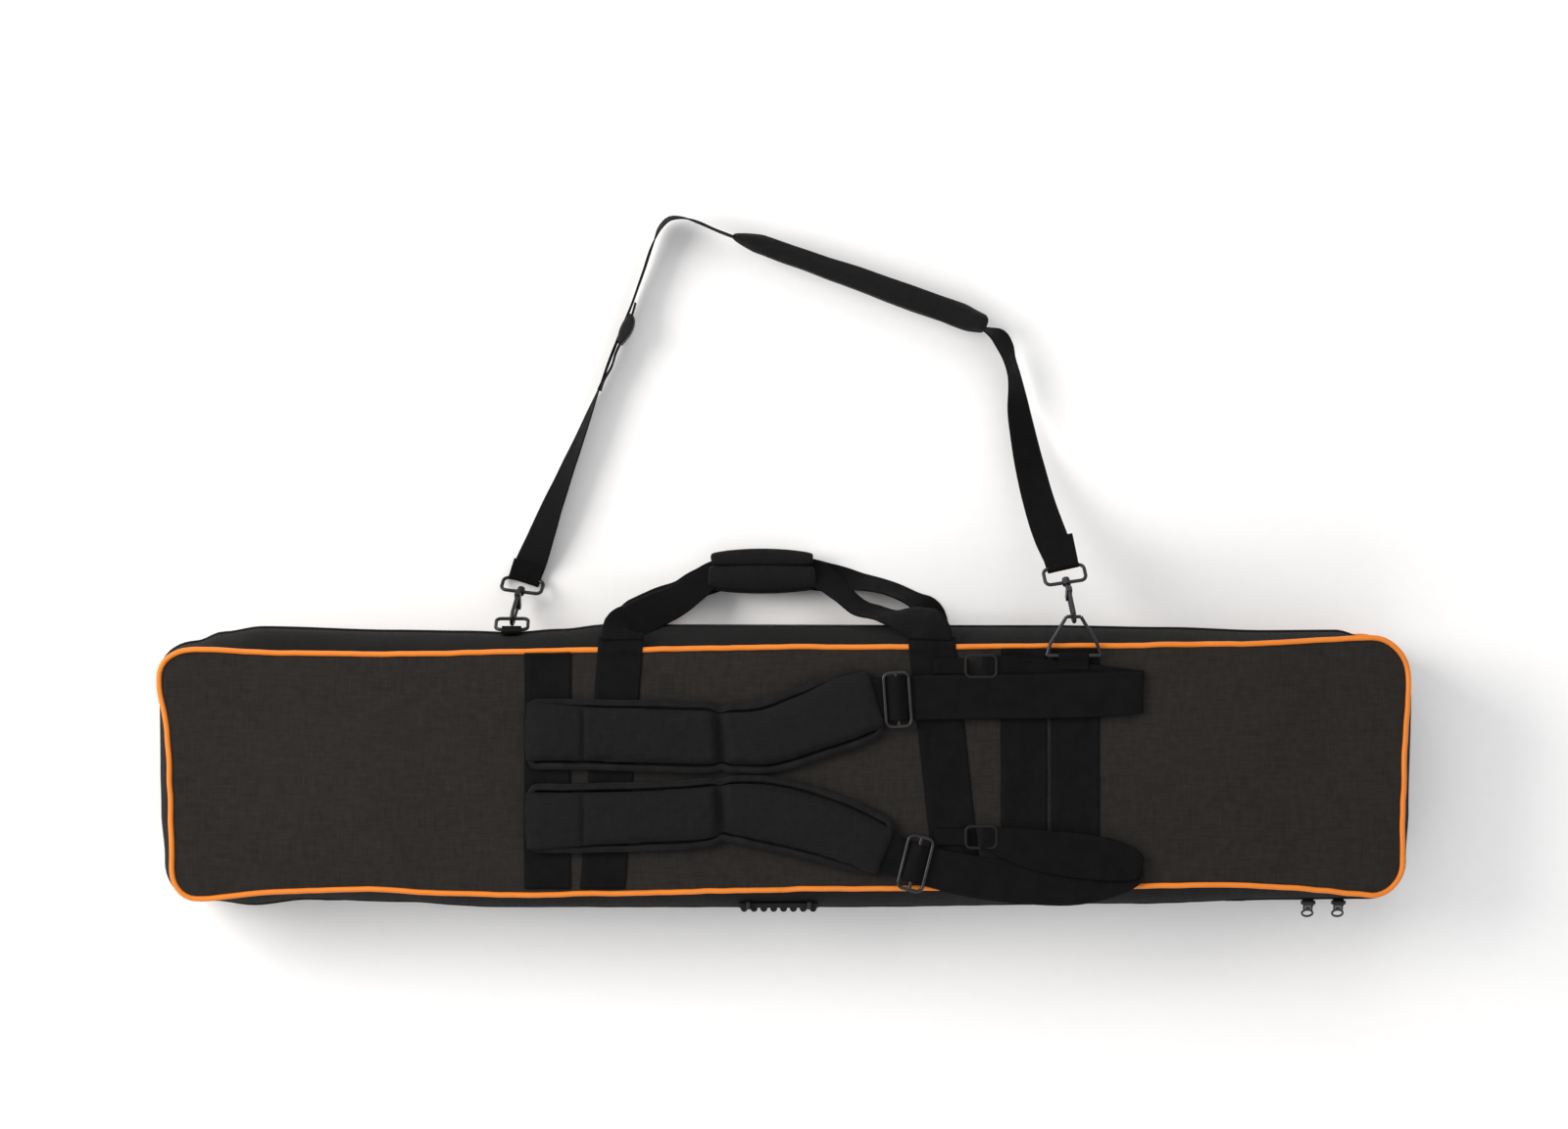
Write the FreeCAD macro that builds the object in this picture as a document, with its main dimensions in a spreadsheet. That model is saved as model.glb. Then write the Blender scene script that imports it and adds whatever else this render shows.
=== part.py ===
import FreeCAD, Part
import math
import os
import Sketcher
from FreeCAD import Placement, Rotation, Vector

# A padded board bag that lies on its front panel: X along the bag, +Y towards the carry handle, +Z up.
# The origin is the centre of the resting face. All sizes are millimetres.

SIZES = {
    "case_length": 1400, "case_width": 300, "case_depth": 140, "case_corner": 44,
    "bulge_length": 1396, "bulge_width": 296, "bulge_height": 34,
    "seam_length": 1386, "seam_width": 282, "seam_corner": 39, "seam_height": 7.5,
    "crest_height": 60, "half_gap": 0.3, "wall": 3,
    "panel_length": 1380, "panel_width": 276, "panel_corner": 36, "panel_thickness": 2,
    "board_length": 1372, "board_width": 268, "foam_thickness": 8, "lining_thickness": 1.5,
    "piping_size": 6, "band_thickness": 1.5,
    "hinge_length": 1000, "hinge_reach": 60,
    "tape_thickness": 1.5, "tape_height": 7, "coil_thickness": 3.5, "coil_height": 2.7,
    "pad_thickness": 12.5, "pad_base": 140.4, "ring_wire": 4,
    "grip_length": 120, "grip_width": 46, "grip_depth": 32,
    "slider_length": 22, "slider_height": 12, "slider_depth": 4.5,
    "shoulder_pad_length": 302, "shoulder_pad_width": 60, "shoulder_pad_depth": 25,
}

doc = FreeCAD.newDocument("board_bag")
sheet = doc.addObject("Spreadsheet::Sheet", "sizes")
for row, (alias, number) in enumerate(SIZES.items(), start=1):
    sheet.set(f"A{row}", alias)
    sheet.set(f"B{row}", str(number))
    sheet.setAlias(f"B{row}", alias)
doc.recompute()

nodes = {}


def size(alias):
    return float(sheet.get(alias))


def keep(thing, name):
    """Name a finished sub-part, so that it is checked and written."""
    thing.Label = name
    nodes[name] = thing
    return thing


# ---------------------------------------------------------------- helpers for sketched bodies

def new_body(name):
    body = doc.addObject("PartDesign::Body", name)
    body.Label = name
    return body


def new_sketch(body, name, role="XY_Plane", offset="0"):
    sketch = body.newObject("Sketcher::SketchObject", name)
    base = next(item for item in body.Origin.OriginFeatures if item.Role == role)
    sketch.AttachmentSupport = [(base, "")]
    sketch.MapMode = "FlatFace"
    sketch.setExpression("AttachmentOffset.Base.z", offset)
    return sketch


def bind(sketch, constraint, name, expression):
    index = sketch.addConstraint(constraint)
    sketch.renameConstraint(index, name)
    sketch.setExpression(f"Constraints.{name}", expression)


def rounded_rectangle(sketch, length, width, radius, prefix="outer"):
    """A rounded rectangle centred on the sketch origin; the three sizes are expressions."""
    half_x = float(sketch.evalExpression(length)) / 2
    half_y = float(sketch.evalExpression(width)) / 2
    turn = float(sketch.evalExpression(radius))
    first = sketch.GeometryCount
    corners = [(half_x, -half_y, -90), (half_x, half_y, 0), (-half_x, half_y, 90), (-half_x, -half_y, 180)]
    ends = [(-half_x + turn, -half_y), (half_x, -half_y + turn), (half_x - turn, half_y),
            (-half_x, half_y - turn)]
    steps = [(2 * (half_x - turn), 0), (0, 2 * (half_y - turn)), (-2 * (half_x - turn), 0),
             (0, -2 * (half_y - turn))]
    for (x, y), (dx, dy), (cx, cy, start) in zip(ends, steps, corners):
        sketch.addGeometry(Part.LineSegment(Vector(x, y, 0), Vector(x + dx, y + dy, 0)), False)
        centre = Vector(cx - math.copysign(turn, cx), cy - math.copysign(turn, cy), 0)
        circle = Part.Circle(centre, Vector(0, 0, 1), turn)
        arc = Part.ArcOfCircle(circle, math.radians(start), math.radians(start + 90))
        sketch.addGeometry(arc, False)
    for step in range(8):
        sketch.addConstraint(Sketcher.Constraint("Tangent", first + step, 2, first + (step + 1) % 8, 1))
    for step in (0, 4):
        sketch.addConstraint(Sketcher.Constraint("Horizontal", first + step))
        sketch.addConstraint(Sketcher.Constraint("Vertical", first + step + 2))
    for step in (3, 5, 7):
        sketch.addConstraint(Sketcher.Constraint("Equal", first + 1, first + step))
    sketch.addConstraint(Sketcher.Constraint("Symmetric", first + 1, 3, first + 5, 3, -1, 1))
    bind(sketch, Sketcher.Constraint("Radius", first + 1, turn), f"{prefix}_radius", radius)
    across = Sketcher.Constraint("DistanceX", first + 6, 1, first + 2, 1, 2 * half_x)
    bind(sketch, across, f"{prefix}_length", length)
    upright = Sketcher.Constraint("DistanceY", first, 1, first + 4, 1, 2 * half_y)
    bind(sketch, upright, f"{prefix}_width", width)


def outline(sketch, points):
    """A closed outline of straight runs, each corner held by its distances from the origin."""
    first = sketch.GeometryCount
    count = len(points)
    for step in range(count):
        start = Vector(*points[step], 0)
        end = Vector(*points[(step + 1) % count], 0)
        sketch.addGeometry(Part.LineSegment(start, end), False)
    for step, (x, y) in enumerate(points):
        sketch.addConstraint(Sketcher.Constraint("Coincident", first + step, 2, first + (step + 1) % count, 1))
        sketch.addConstraint(Sketcher.Constraint("DistanceX", -1, 1, first + step, 1, x))
        sketch.addConstraint(Sketcher.Constraint("DistanceY", -1, 1, first + step, 1, y))


def pad(body, sketch, height):
    feature = body.newObject("PartDesign::Pad", "Pad")
    feature.Profile = sketch
    feature.setExpression("Length", height)
    return feature


def slab(name, length, width, radius, base, height):
    """A flat rounded board."""
    body = new_body(name)
    sketch = new_sketch(body, name + "_outline", offset=base)
    rounded_rectangle(sketch, length, width, radius)
    pad(body, sketch, height)
    return body


def band_ring(name, length, width, radius, depth, base, height):
    """A closed upright strip that follows a rounded rectangle."""
    body = new_body(name)
    sketch = new_sketch(body, name + "_outline", offset=base)
    rounded_rectangle(sketch, length, width, radius)
    rounded_rectangle(sketch, f"{length} - 2 * ({depth})", f"{width} - 2 * ({depth})",
                      f"{radius} - ({depth})", "inner")
    pad(body, sketch, height)
    return body


def flat_piece(name, points, base, height):
    """A flat piece with a straight-sided outline."""
    body = new_body(name)
    sketch = new_sketch(body, name + "_outline", offset=base)
    outline(sketch, points)
    pad(body, sketch, height)
    return body


def wire_frame(name, length, width, radius, wire):
    """A closed ring of round wire along a rounded rectangle, in its own XY plane."""
    body = new_body(name)
    path = new_sketch(body, name + "_path")
    rounded_rectangle(path, length, width, radius)
    section = new_sketch(body, name + "_section", "YZ_Plane")
    centre = -float(section.evalExpression(width)) / 2
    section.addGeometry(Part.Circle(Vector(centre, 0, 0), Vector(0, 0, 1), 1), False)
    bind(section, Sketcher.Constraint("Radius", 0, 1), "wire_radius", f"({wire}) / 2")
    section.addConstraint(Sketcher.Constraint("PointOnObject", 0, 3, -1))
    bind(section, Sketcher.Constraint("DistanceX", -1, 1, 0, 3, centre), "reach", f"-({width}) / 2")
    pipe = body.newObject("PartDesign::AdditivePipe", "Pipe")
    pipe.Profile = section
    pipe.Spine = path
    return body


# ---------------------------------------------------------------- helpers for primitives

def box(name, low, high):
    thing = doc.addObject("Part::Box", name)
    thing.Length, thing.Width, thing.Height = (b - a for a, b in zip(low, high))
    thing.Placement.Base = Vector(*low)
    return thing


def cylinder(name, radius, start, end):
    thing = doc.addObject("Part::Cylinder", name)
    along = Vector(*end) - Vector(*start)
    thing.Radius = radius
    thing.Height = along.Length
    thing.Placement = Placement(Vector(*start), Rotation(Vector(0, 0, 1), along))
    return thing


def combine(kind, name, *things):
    """Part::Cut or Part::Common of two objects, or Part::MultiFuse of several."""
    thing = doc.addObject(kind, name)
    if kind == "Part::MultiFuse":
        thing.Shapes = list(things)
    else:
        thing.Base, thing.Tool = things
    return thing


def group(name, things):
    thing = doc.addObject("Part::Compound", name)
    thing.Links = list(things)
    return thing


def mirrored(source, name):
    """The same piece in the other half of the case."""
    thing = doc.addObject("Part::Mirroring", name)
    thing.Source = source
    thing.Normal = Vector(0, 0, 1)
    thing.setExpression("Base.z", "sizes.case_depth / 2")
    return keep(thing, name)


def shaped(name, shape, placement=None):
    thing = doc.addObject("Part::Feature", name)
    thing.Shape = shape
    if placement is not None:
        thing.Placement = placement
    return thing


def ribbon(route, thickness):
    """A strip of webbing through stations (x, y, z, width, roll); roll 90 stands it on its edge."""
    points = [Vector(*station[:3]) for station in route]
    sections = []
    for step, (x, y, z, width, roll) in enumerate(route):
        ahead = points[min(step + 1, len(points) - 1)]
        behind = points[max(step - 1, 0)]
        along = (ahead - behind).normalize()
        level = along.cross(Vector(0, 0, 1)).normalize()
        upward = level.cross(along)
        turn = math.radians(roll)
        side = level * math.cos(turn) + upward * math.sin(turn)
        face = upward * math.cos(turn) - level * math.sin(turn)
        corners = [points[step] + side * (width / 2 * a) + face * (thickness / 2 * b)
                   for a, b in ((-1, -1), (1, -1), (1, 1), (-1, 1))]
        sections.append(Part.makePolygon(corners + corners[:1]))
    return Part.makeLoft(sections, True, True)


# ---------------------------------------------------------------- the case, front half first

HALF_WALL = "sizes.case_depth / 2 - sizes.half_gap"


def gusset_loft():
    """The side wall of one half: it bulges from the panel seam out to the zip line."""
    body = new_body("gusset_loft")
    levels = [
        ("seam", "sizes.seam_length", "sizes.seam_width", "sizes.seam_corner", "sizes.seam_height"),
        ("bulge", "sizes.bulge_length", "sizes.bulge_width", "sizes.case_corner", "sizes.bulge_height"),
        ("crest", "sizes.case_length", "sizes.case_width", "sizes.case_corner", "sizes.crest_height"),
        ("rim", "sizes.case_length", "sizes.case_width", "sizes.case_corner", HALF_WALL),
    ]
    for kind, inset in (("PartDesign::AdditiveLoft", "0"), ("PartDesign::SubtractiveLoft", "sizes.wall")):
        sketches = []
        for name, length, width, radius, height in levels:
            sketch = new_sketch(body, f"{name}_{kind[12:15]}", offset=height)
            rounded_rectangle(sketch, f"{length} - 2 * {inset}", f"{width} - 2 * {inset}",
                              f"{radius} - {inset}")
            sketches.append(sketch)
        doc.recompute()
        loft = body.newObject(kind, "Loft")
        loft.Profile = sketches[0]
        loft.Sections = sketches[1:]
        loft.Ruled = True
    return body


def hinge_zone(name):
    """The stretch of the -Y side that has no zip."""
    thing = doc.addObject("Part::Box", name)
    thing.setExpression("Length", "sizes.hinge_length")
    thing.setExpression("Width", "sizes.hinge_reach")
    thing.setExpression("Height", "sizes.case_depth / 2")
    thing.setExpression("Placement.Base.x", "-sizes.hinge_length / 2")
    thing.setExpression("Placement.Base.y", "-sizes.case_width / 2 - sizes.hinge_reach / 2")
    return thing


def without_hinge(ring, name):
    return keep(combine("Part::Cut", name, ring, hinge_zone(name + "_gap")), name)


def case_half():
    foam = keep(slab("front_foam", "sizes.board_length", "sizes.board_width", "sizes.panel_corner",
                     "sizes.band_thickness + sizes.panel_thickness", "sizes.foam_thickness"), "front_foam")
    lining = keep(slab("front_lining", "sizes.board_length", "sizes.board_width", "sizes.panel_corner",
                       "sizes.band_thickness + sizes.panel_thickness + sizes.foam_thickness",
                       "sizes.lining_thickness"), "front_lining")
    piping = wire_frame("front_piping", "sizes.seam_length", "sizes.seam_width", "sizes.seam_corner",
                        "sizes.piping_size")
    piping.setExpression("Placement.Base.z", "sizes.band_thickness + sizes.piping_size / 2")
    keep(piping, "front_piping")

    loft = gusset_loft()
    hinge_wall = combine("Part::Common", "front_hinge_gusset", loft, hinge_zone("hinge_wall_zone"))
    keep(hinge_wall, "front_hinge_gusset")
    zip_side = combine("Part::Cut", "zip_side_wall", loft, hinge_zone("zip_side_gap"))
    above_crest = doc.addObject("Part::Box", "above_crest")
    above_crest.setExpression("Length", "sizes.case_length + 20")
    above_crest.setExpression("Width", "sizes.case_width + 20")
    above_crest.setExpression("Height", "sizes.case_depth")
    above_crest.setExpression("Placement.Base.x", "-sizes.case_length / 2 - 10")
    above_crest.setExpression("Placement.Base.y", "-sizes.case_width / 2 - 10")
    above_crest.setExpression("Placement.Base.z", "sizes.crest_height")
    gusset = keep(combine("Part::Cut", "front_gusset", zip_side, above_crest), "front_gusset")

    tape = without_hinge(band_ring("tape_ring", "sizes.case_length - 1", "sizes.case_width - 1",
                                   "sizes.case_corner", "sizes.tape_thickness", "sizes.crest_height",
                                   "sizes.tape_height"), "front_zip_tape")
    coil = without_hinge(band_ring("coil_ring", "sizes.case_length", "sizes.case_width",
                                   "sizes.case_corner", "sizes.coil_thickness",
                                   "sizes.crest_height + sizes.tape_height", "sizes.coil_height"),
                         "front_zip_coil")
    return [foam, lining, piping, gusset, hinge_wall, tape, coil]


for piece in case_half():
    mirrored(piece, piece.Label.replace("front", "back"))

BAND_REACH = 137
CASE_TOP = size("case_depth")
BACK_TOP = CASE_TOP - size("band_thickness")
HANDLE_LEFT = -202
HANDLE_RIGHT = 176


def sewn_band(name, low_x, high_x, lean=0, base=None, reach=BAND_REACH):
    """A band of webbing sewn across a panel; lean shifts its +Y end along X."""
    points = [(low_x, -reach), (high_x, -reach), (high_x + lean, reach), (low_x + lean, reach)]
    return flat_piece(name, points, str(BACK_TOP if base is None else base), "sizes.band_thickness")


keep(sewn_band("back_band_left", -289, -237), "back_band_left")
keep(sewn_band("back_band_centre", 241, 291), "back_band_centre")
keep(sewn_band("back_band_right", 297, 351), "back_band_right")


def handle_bands(half, base):
    bands = [sewn_band(f"{half}_handle_band_1", HANDLE_LEFT - 25, HANDLE_LEFT + 25, 20, base),
             sewn_band(f"{half}_handle_band_2", HANDLE_RIGHT - 15, HANDLE_RIGHT + 35, -24, base)]
    return keep(group(f"{half}_handle_bands", bands), f"{half}_handle_bands")


handle_bands("back", BACK_TOP)
front_bands = handle_bands("front", 0)

# The case lies on its front panel, whose padding swells level with the two bands sewn across it.
PANEL_OUTLINE = ("sizes.panel_length", "sizes.panel_width", "sizes.panel_corner")
keep(slab("back_panel", *PANEL_OUTLINE, "sizes.case_depth - sizes.band_thickness - sizes.panel_thickness",
          "sizes.panel_thickness"), "back_panel")
swollen_panel = slab("swollen_panel", *PANEL_OUTLINE, "0", "sizes.band_thickness + sizes.panel_thickness")
keep(combine("Part::Cut", "front_panel", swollen_panel, front_bands), "front_panel")

CREST_Y = size("case_width") / 2
MID_Z = size("case_depth") / 2

# The fabric hinge bridges the two halves along the side without a zip.
keep(box("hinge_strip", (-492, -CREST_Y - 1.7, MID_Z - 14), (492, -CREST_Y - 0.2, MID_Z + 14)), "hinge_strip")
zip_ends = [box(f"zip_end_{side}", (side * 507 - 12, -CREST_Y - 1.5, 57), (side * 507 + 12, -CREST_Y - 0.2, 69.5))
            for side in (-1, 1)]
keep(group("zip_end_tabs", zip_ends), "zip_end_tabs")


def side_grip():
    """A moulded grip with eight ribs, riveted to the lower gusset of the back half."""
    plate = box("grip_plate", (-50, -CREST_Y - 5.5, 86), (38, -CREST_Y - 0.4, 112))
    ribs = [cylinder(f"grip_rib_{step}", 4, (-44.5 + 11 * step, -CREST_Y - 6, 88),
                     (-44.5 + 11 * step, -CREST_Y - 6, 110)) for step in range(8)]
    keep(combine("Part::MultiFuse", "side_grip", plate, *ribs), "side_grip")
    rivets = [cylinder(f"grip_rivet_{x}", 2.5, (x, -CREST_Y - 7, 115.5), (x, -CREST_Y + 1, 115.5))
              for x in (-40, 28)]
    keep(group("side_grip_rivets", rivets), "side_grip_rivets")


side_grip()

# ---------------------------------------------------------------- zip sliders and their ring pulls

SLIDER_FACE = -CREST_Y - 1.5
PULL_PIN_Y = SLIDER_FACE - size("slider_depth") - 2
PULL_PIN_Z = 66
PULL_HANG = 50


def slider(name, x):
    """A slider that sits on the zip line, with two lugs that hold its pull."""
    half = size("slider_length") / 2
    outer = SLIDER_FACE - size("slider_depth")
    high = size("slider_height") / 2
    shell = box(name + "_shell", (x - half, outer, MID_Z - high), (x + half, SLIDER_FACE, MID_Z + high))
    lugs = [box(f"{name}_lug_{side}", (x + side * 4.5 - 1, outer - 4, PULL_PIN_Z - 2),
                (x + side * 4.5 + 1, outer + 0.5, PULL_PIN_Z + 2)) for side in (-1, 1)]
    keep(combine("Part::MultiFuse", name, shell, *lugs), name)


def pull(name, x):
    """A ring pull that hangs from its slider: pivot barrel between the lugs, short link, round ring."""
    barrel = cylinder(name + "_barrel", 1.2, (x - 3.2, PULL_PIN_Y, PULL_PIN_Z), (x + 3.2, PULL_PIN_Y, PULL_PIN_Z))
    link = box(name + "_link", (x - 2, PULL_PIN_Y - 4.2, PULL_PIN_Z - 0.7), (x + 2, PULL_PIN_Y, PULL_PIN_Z + 0.7))
    ring = doc.addObject("Part::Torus", name + "_ring")
    ring.Radius1 = 6
    ring.Radius2 = 1.2
    ring.Placement.Base = Vector(x, PULL_PIN_Y - 9.8, PULL_PIN_Z)
    whole = combine("Part::MultiFuse", name, barrel, link, ring)
    whole.Placement = Placement(Vector(), Rotation(Vector(1, 0, 0), PULL_HANG),
                                Vector(x, PULL_PIN_Y, PULL_PIN_Z))
    keep(whole, name)


for side, slider_x in (("left", 589), ("right", 623)):
    slider(f"zip_slider_{side}", slider_x)
    pull(f"zip_pull_{side}", slider_x)

# ---------------------------------------------------------------- carry handle

GRIP_Y = 221
GRIP_Z = 22
GRIP_CENTRE_X = -25
WEBBING = 1.8

back_loop = [
    (-180, 149, 139.5, 44, 0), (-179.5, 157, 128, 44, 0), (-173, 170, 108, 44, 0), (-150, 188, 82, 44, 0),
    (-122, 208, 48, 40, 0),
    (-96, 219, 27, 32, 0), (-86, 221, 22, 30, 0), (36, 221, 22, 30, 0), (47, 218, 25, 32, 0),
    (72, 198, 44, 38, 0), (104, 182, 68, 42, 0), (136, 176, 90, 44, 0), (155, 168, 110, 44, 0),
    (159.5, 157, 128, 44, 0), (160, 149, 139.5, 44, 0),
]
keep(shaped("back_handle_loop", ribbon(back_loop, WEBBING)), "back_handle_loop")
front_loop = [
    (-182, 151, 2.5, 44, 0), (-181.5, 161, 2, 44, 0), (-173, 178, 1.6, 44, 0), (-152, 194, 1.5, 44, 0),
    (-120, 209, 1.5, 42, 0),
    (-80, 217, 1.5, 40, 0), (-20, 219, 1.5, 40, 0), (40, 216, 1.5, 42, 0), (90, 206, 1.5, 44, 0),
    (130, 190, 1.5, 44, 0), (152, 176, 1.6, 44, 0), (159.5, 161, 2, 44, 0), (160, 151, 2.5, 44, 0),
]
keep(shaped("front_handle_loop", ribbon(front_loop, WEBBING)), "front_handle_loop")


def handle_grip():
    """The padded wrap: a rounded sleeve with a slot that the webbing passes through."""
    body = new_body("handle_grip")
    sketch = new_sketch(body, "grip_outline", "YZ_Plane", "-sizes.grip_length / 2")
    rounded_rectangle(sketch, "sizes.grip_width", "sizes.grip_depth", "sizes.grip_depth / 2 - 2")
    rounded_rectangle(sketch, "38", "4", "1", "inner")
    pad(body, sketch, "sizes.grip_length")
    body.Placement.Base = Vector(GRIP_CENTRE_X, GRIP_Y, GRIP_Z)
    keep(body, "handle_grip")


handle_grip()

# ---------------------------------------------------------------- backpack straps

upper_pad = [(-289, 2), (-70, 2), (20, 14), (100, 36), (106, 100), (90, 113), (0, 84), (-70, 79), (-289, 80)]
lower_pad = [(-289, -92), (-70, -92), (0, -100), (100, -117), (122, -112), (124, -82), (100, -50), (20, -32),
             (-70, -23), (-289, -23)]
for name, points in (("upper_pad", upper_pad), ("lower_pad", lower_pad)):
    keep(flat_piece(name, points, "sizes.pad_base", "sizes.pad_thickness"), name)


def adjuster(name, x, y, turn):
    """A wire adjuster with a centre bar, above the webbing that it holds."""
    frame = wire_frame(name + "_frame", "28", "60", "7", "sizes.ring_wire")
    bar = cylinder(name + "_bar", 2, (0, -30, 0), (0, 30, 0))
    whole = combine("Part::MultiFuse", name, frame, bar)
    whole.Placement = Placement(Vector(x, y, 148.2), Rotation(Vector(0, 0, 1), turn))
    keep(whole, name)


adjuster("upper_adjuster", 126, 78, 4)
adjuster("lower_adjuster", 146, -104, -14)

RUN_Z = 141.6
RETURN_Z = 144.6
upper_run = [(112, 77, RUN_Z, 50, 0), (200, 79, RUN_Z, 50, 0), (300, 80, RUN_Z, 50, 0), (394, 80, RUN_Z, 50, 0)]
lower_run = [(132, -101, RUN_Z, 42, 0), (190, -115, RUN_Z, 42, 0), (250, -122, RUN_Z, 44, 0),
             (320, -124, RUN_Z, 44, 0), (366, -114, RUN_Z, 40, 0), (386, -110, RUN_Z, 36, 0), (394, -110, RUN_Z, 34, 0)]
upper_return = [(397, 80, RUN_Z, 50, 0), (400, 80, 143.2, 50, 0), (397, 80, RETURN_Z, 50, 0),
                (330, 88, RETURN_Z, 44, 0), (270, 102, RETURN_Z, 34, 0), (241, 112, RETURN_Z, 24, 0)]
lower_return = [(397, -108, RUN_Z, 34, 0), (400, -107, 143.2, 34, 0), (397, -106, RETURN_Z, 34, 0),
                (340, -100, RETURN_Z, 40, 0), (280, -88, RETURN_Z, 34, 0), (241, -78, RETURN_Z, 24, 0)]
for name, route in (("upper_webbing_run", upper_run), ("lower_webbing_run", lower_run)):
    keep(shaped(name, ribbon(route, WEBBING)), name)


def doubled_back(name, route):
    """The returning layer, with the fold at its far end."""
    fold, layer = route[:3], route[2:]
    low, outer, high = (Vector(*station[:3]) for station in fold)
    width = fold[0][3]
    half = WEBBING / 2
    profile = Part.makePolygon([Vector(low.x, 0, low.z - half), Vector(outer.x + half, 0, low.z),
                                Vector(outer.x + half, 0, high.z), Vector(high.x, 0, high.z + half),
                                Vector(high.x, 0, low.z - half)])
    end = Part.Face(profile).extrude(Vector(0, width, 0))
    end.translate(Vector(0, low.y - width / 2, 0))
    strip = ribbon(layer, WEBBING)
    return shaped(name, end.fuse(strip).removeSplitter())


keep(doubled_back("upper_webbing_return", upper_return), "upper_webbing_return")
keep(doubled_back("lower_webbing_return", lower_return), "lower_webbing_return")

for name, y in (("upper", 115), ("lower", -75)):
    ring = wire_frame(f"{name}_anchor_ring", "34", "24", "6", "3.2")
    ring.Placement.Base = Vector(219, y, RETURN_Z + 0.2)
    keep(ring, f"{name}_anchor_ring")
    keep(box(f"{name}_anchor_tab", (166, y - 9, CASE_TOP), (199, y + 9, CASE_TOP + 2.2)), f"{name}_anchor_tab")

# ---------------------------------------------------------------- shoulder strap and the rings that hold it

LEFT_RING = Vector(-306, 167, 52)
RIGHT_RING = Vector(322, 170, 144)


def left_ring():
    """A square ring that hangs from a loop of webbing just above the zip."""
    bar_y = CREST_Y + 5
    bar_z = MID_Z + 3
    tilt = math.degrees(math.atan2(LEFT_RING.z - bar_z, LEFT_RING.y - bar_y))
    reach = math.hypot(LEFT_RING.z - bar_z, LEFT_RING.y - bar_y)
    ring = wire_frame("left_strap_ring", "36", str(round(reach, 3)), "6", "sizes.ring_wire")
    middle = Vector(LEFT_RING.x, (LEFT_RING.y + bar_y) / 2, (LEFT_RING.z + bar_z) / 2)
    ring.Placement = Placement(middle, Rotation(Vector(1, 0, 0), tilt))
    keep(ring, "left_strap_ring")
    sleeve = cylinder("left_sleeve", 4, (-317, bar_y, bar_z), (-295, bar_y, bar_z))
    bore = cylinder("left_bore", 2.3, (-320, bar_y, bar_z), (-290, bar_y, bar_z))
    flap = box("left_flap", (-317, CREST_Y + 0.4, bar_z), (-295, CREST_Y + 2, bar_z + 26))
    whole = combine("Part::MultiFuse", "left_tab_blank", sleeve, flap)
    keep(combine("Part::Cut", "left_ring_tab", whole, bore), "left_ring_tab")


def right_ring():
    """A trapezoid ring that lies on the panel and reaches past the piping to its apex."""
    base_y = 127
    middle = RIGHT_RING.x
    outline_points = [(middle, base_y), (middle + 30, base_y), (middle + 26, 140), (middle + 8, RIGHT_RING.y),
                      (middle - 8, RIGHT_RING.y), (middle - 26, 140), (middle - 30, base_y), (middle, base_y)]
    path = Part.makePolygon([Vector(x, y, RIGHT_RING.z) for x, y in outline_points])
    section = Part.makeCircle(size("ring_wire") / 2, Vector(middle, base_y, RIGHT_RING.z), Vector(1, 0, 0))
    ring = path.makePipeShell([Part.Wire(section)], True, False, 2)
    keep(shaped("right_strap_ring", ring), "right_strap_ring")
    sleeve = cylinder("right_sleeve", 3.6, (305, base_y, RIGHT_RING.z), (339, base_y, RIGHT_RING.z))
    bore = cylinder("right_bore", 2.3, (300, base_y, RIGHT_RING.z), (344, base_y, RIGHT_RING.z))
    flap = box("right_flap", (305, 108, CASE_TOP), (339, base_y, CASE_TOP + 1.4))
    whole = combine("Part::MultiFuse", "right_tab_blank", sleeve, flap)
    keep(combine("Part::Cut", "right_ring_tab", whole, bore), "right_ring_tab")


left_ring()
right_ring()

HOOK_REACH = 44
POST = 2.4


def hook_frame(ring, towards):
    """Local X runs from the ring's wire to the strap; local Z is the hook's pivot direction."""
    along = (towards - ring).normalize()
    across = Vector(1, 0, 0) - along * along.x
    across.normalize()
    up = across.cross(along)
    matrix = FreeCAD.Matrix(along.x, up.x, across.x, ring.x, along.y, up.y, across.y, ring.y,
                            along.z, up.z, across.z, ring.z, 0, 0, 0, 1)
    return Placement(matrix)


def snap_hook(name, where):
    """Bow round the ring's wire, spine, base and the post that swivels in the eye."""
    bow = doc.addObject("Part::Torus", name + "_bow")
    bow.Radius1 = 9
    bow.Radius2 = 2.2
    bow.Angle3 = 180
    bow.Placement = Placement(Vector(4, 0, 0), Rotation(Vector(0, 0, 1), 90))
    spine = cylinder(name + "_spine", 2.2, (4, 9, 0), (28, 9, 0))
    base = box(name + "_base", (27, -12, -3.2), (33, 12, 3.2))
    post = cylinder(name + "_post", POST, (32, 0, 0), (HOOK_REACH + 5, 0, 0))
    cap = cylinder(name + "_cap", 4, (HOOK_REACH + 3.3, 0, 0), (HOOK_REACH + 5.3, 0, 0))
    whole = combine("Part::MultiFuse", name, bow, spine, base, post, cap)
    whole.Placement = where
    keep(whole, name)


def gate(name, where):
    """The sprung gate that closes the hook's mouth."""
    bar = cylinder(name, 1.75, (4.6, -9, 0), (25, -9, 0))
    bar.Placement = where.multiply(bar.Placement)
    keep(bar, name)


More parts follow.
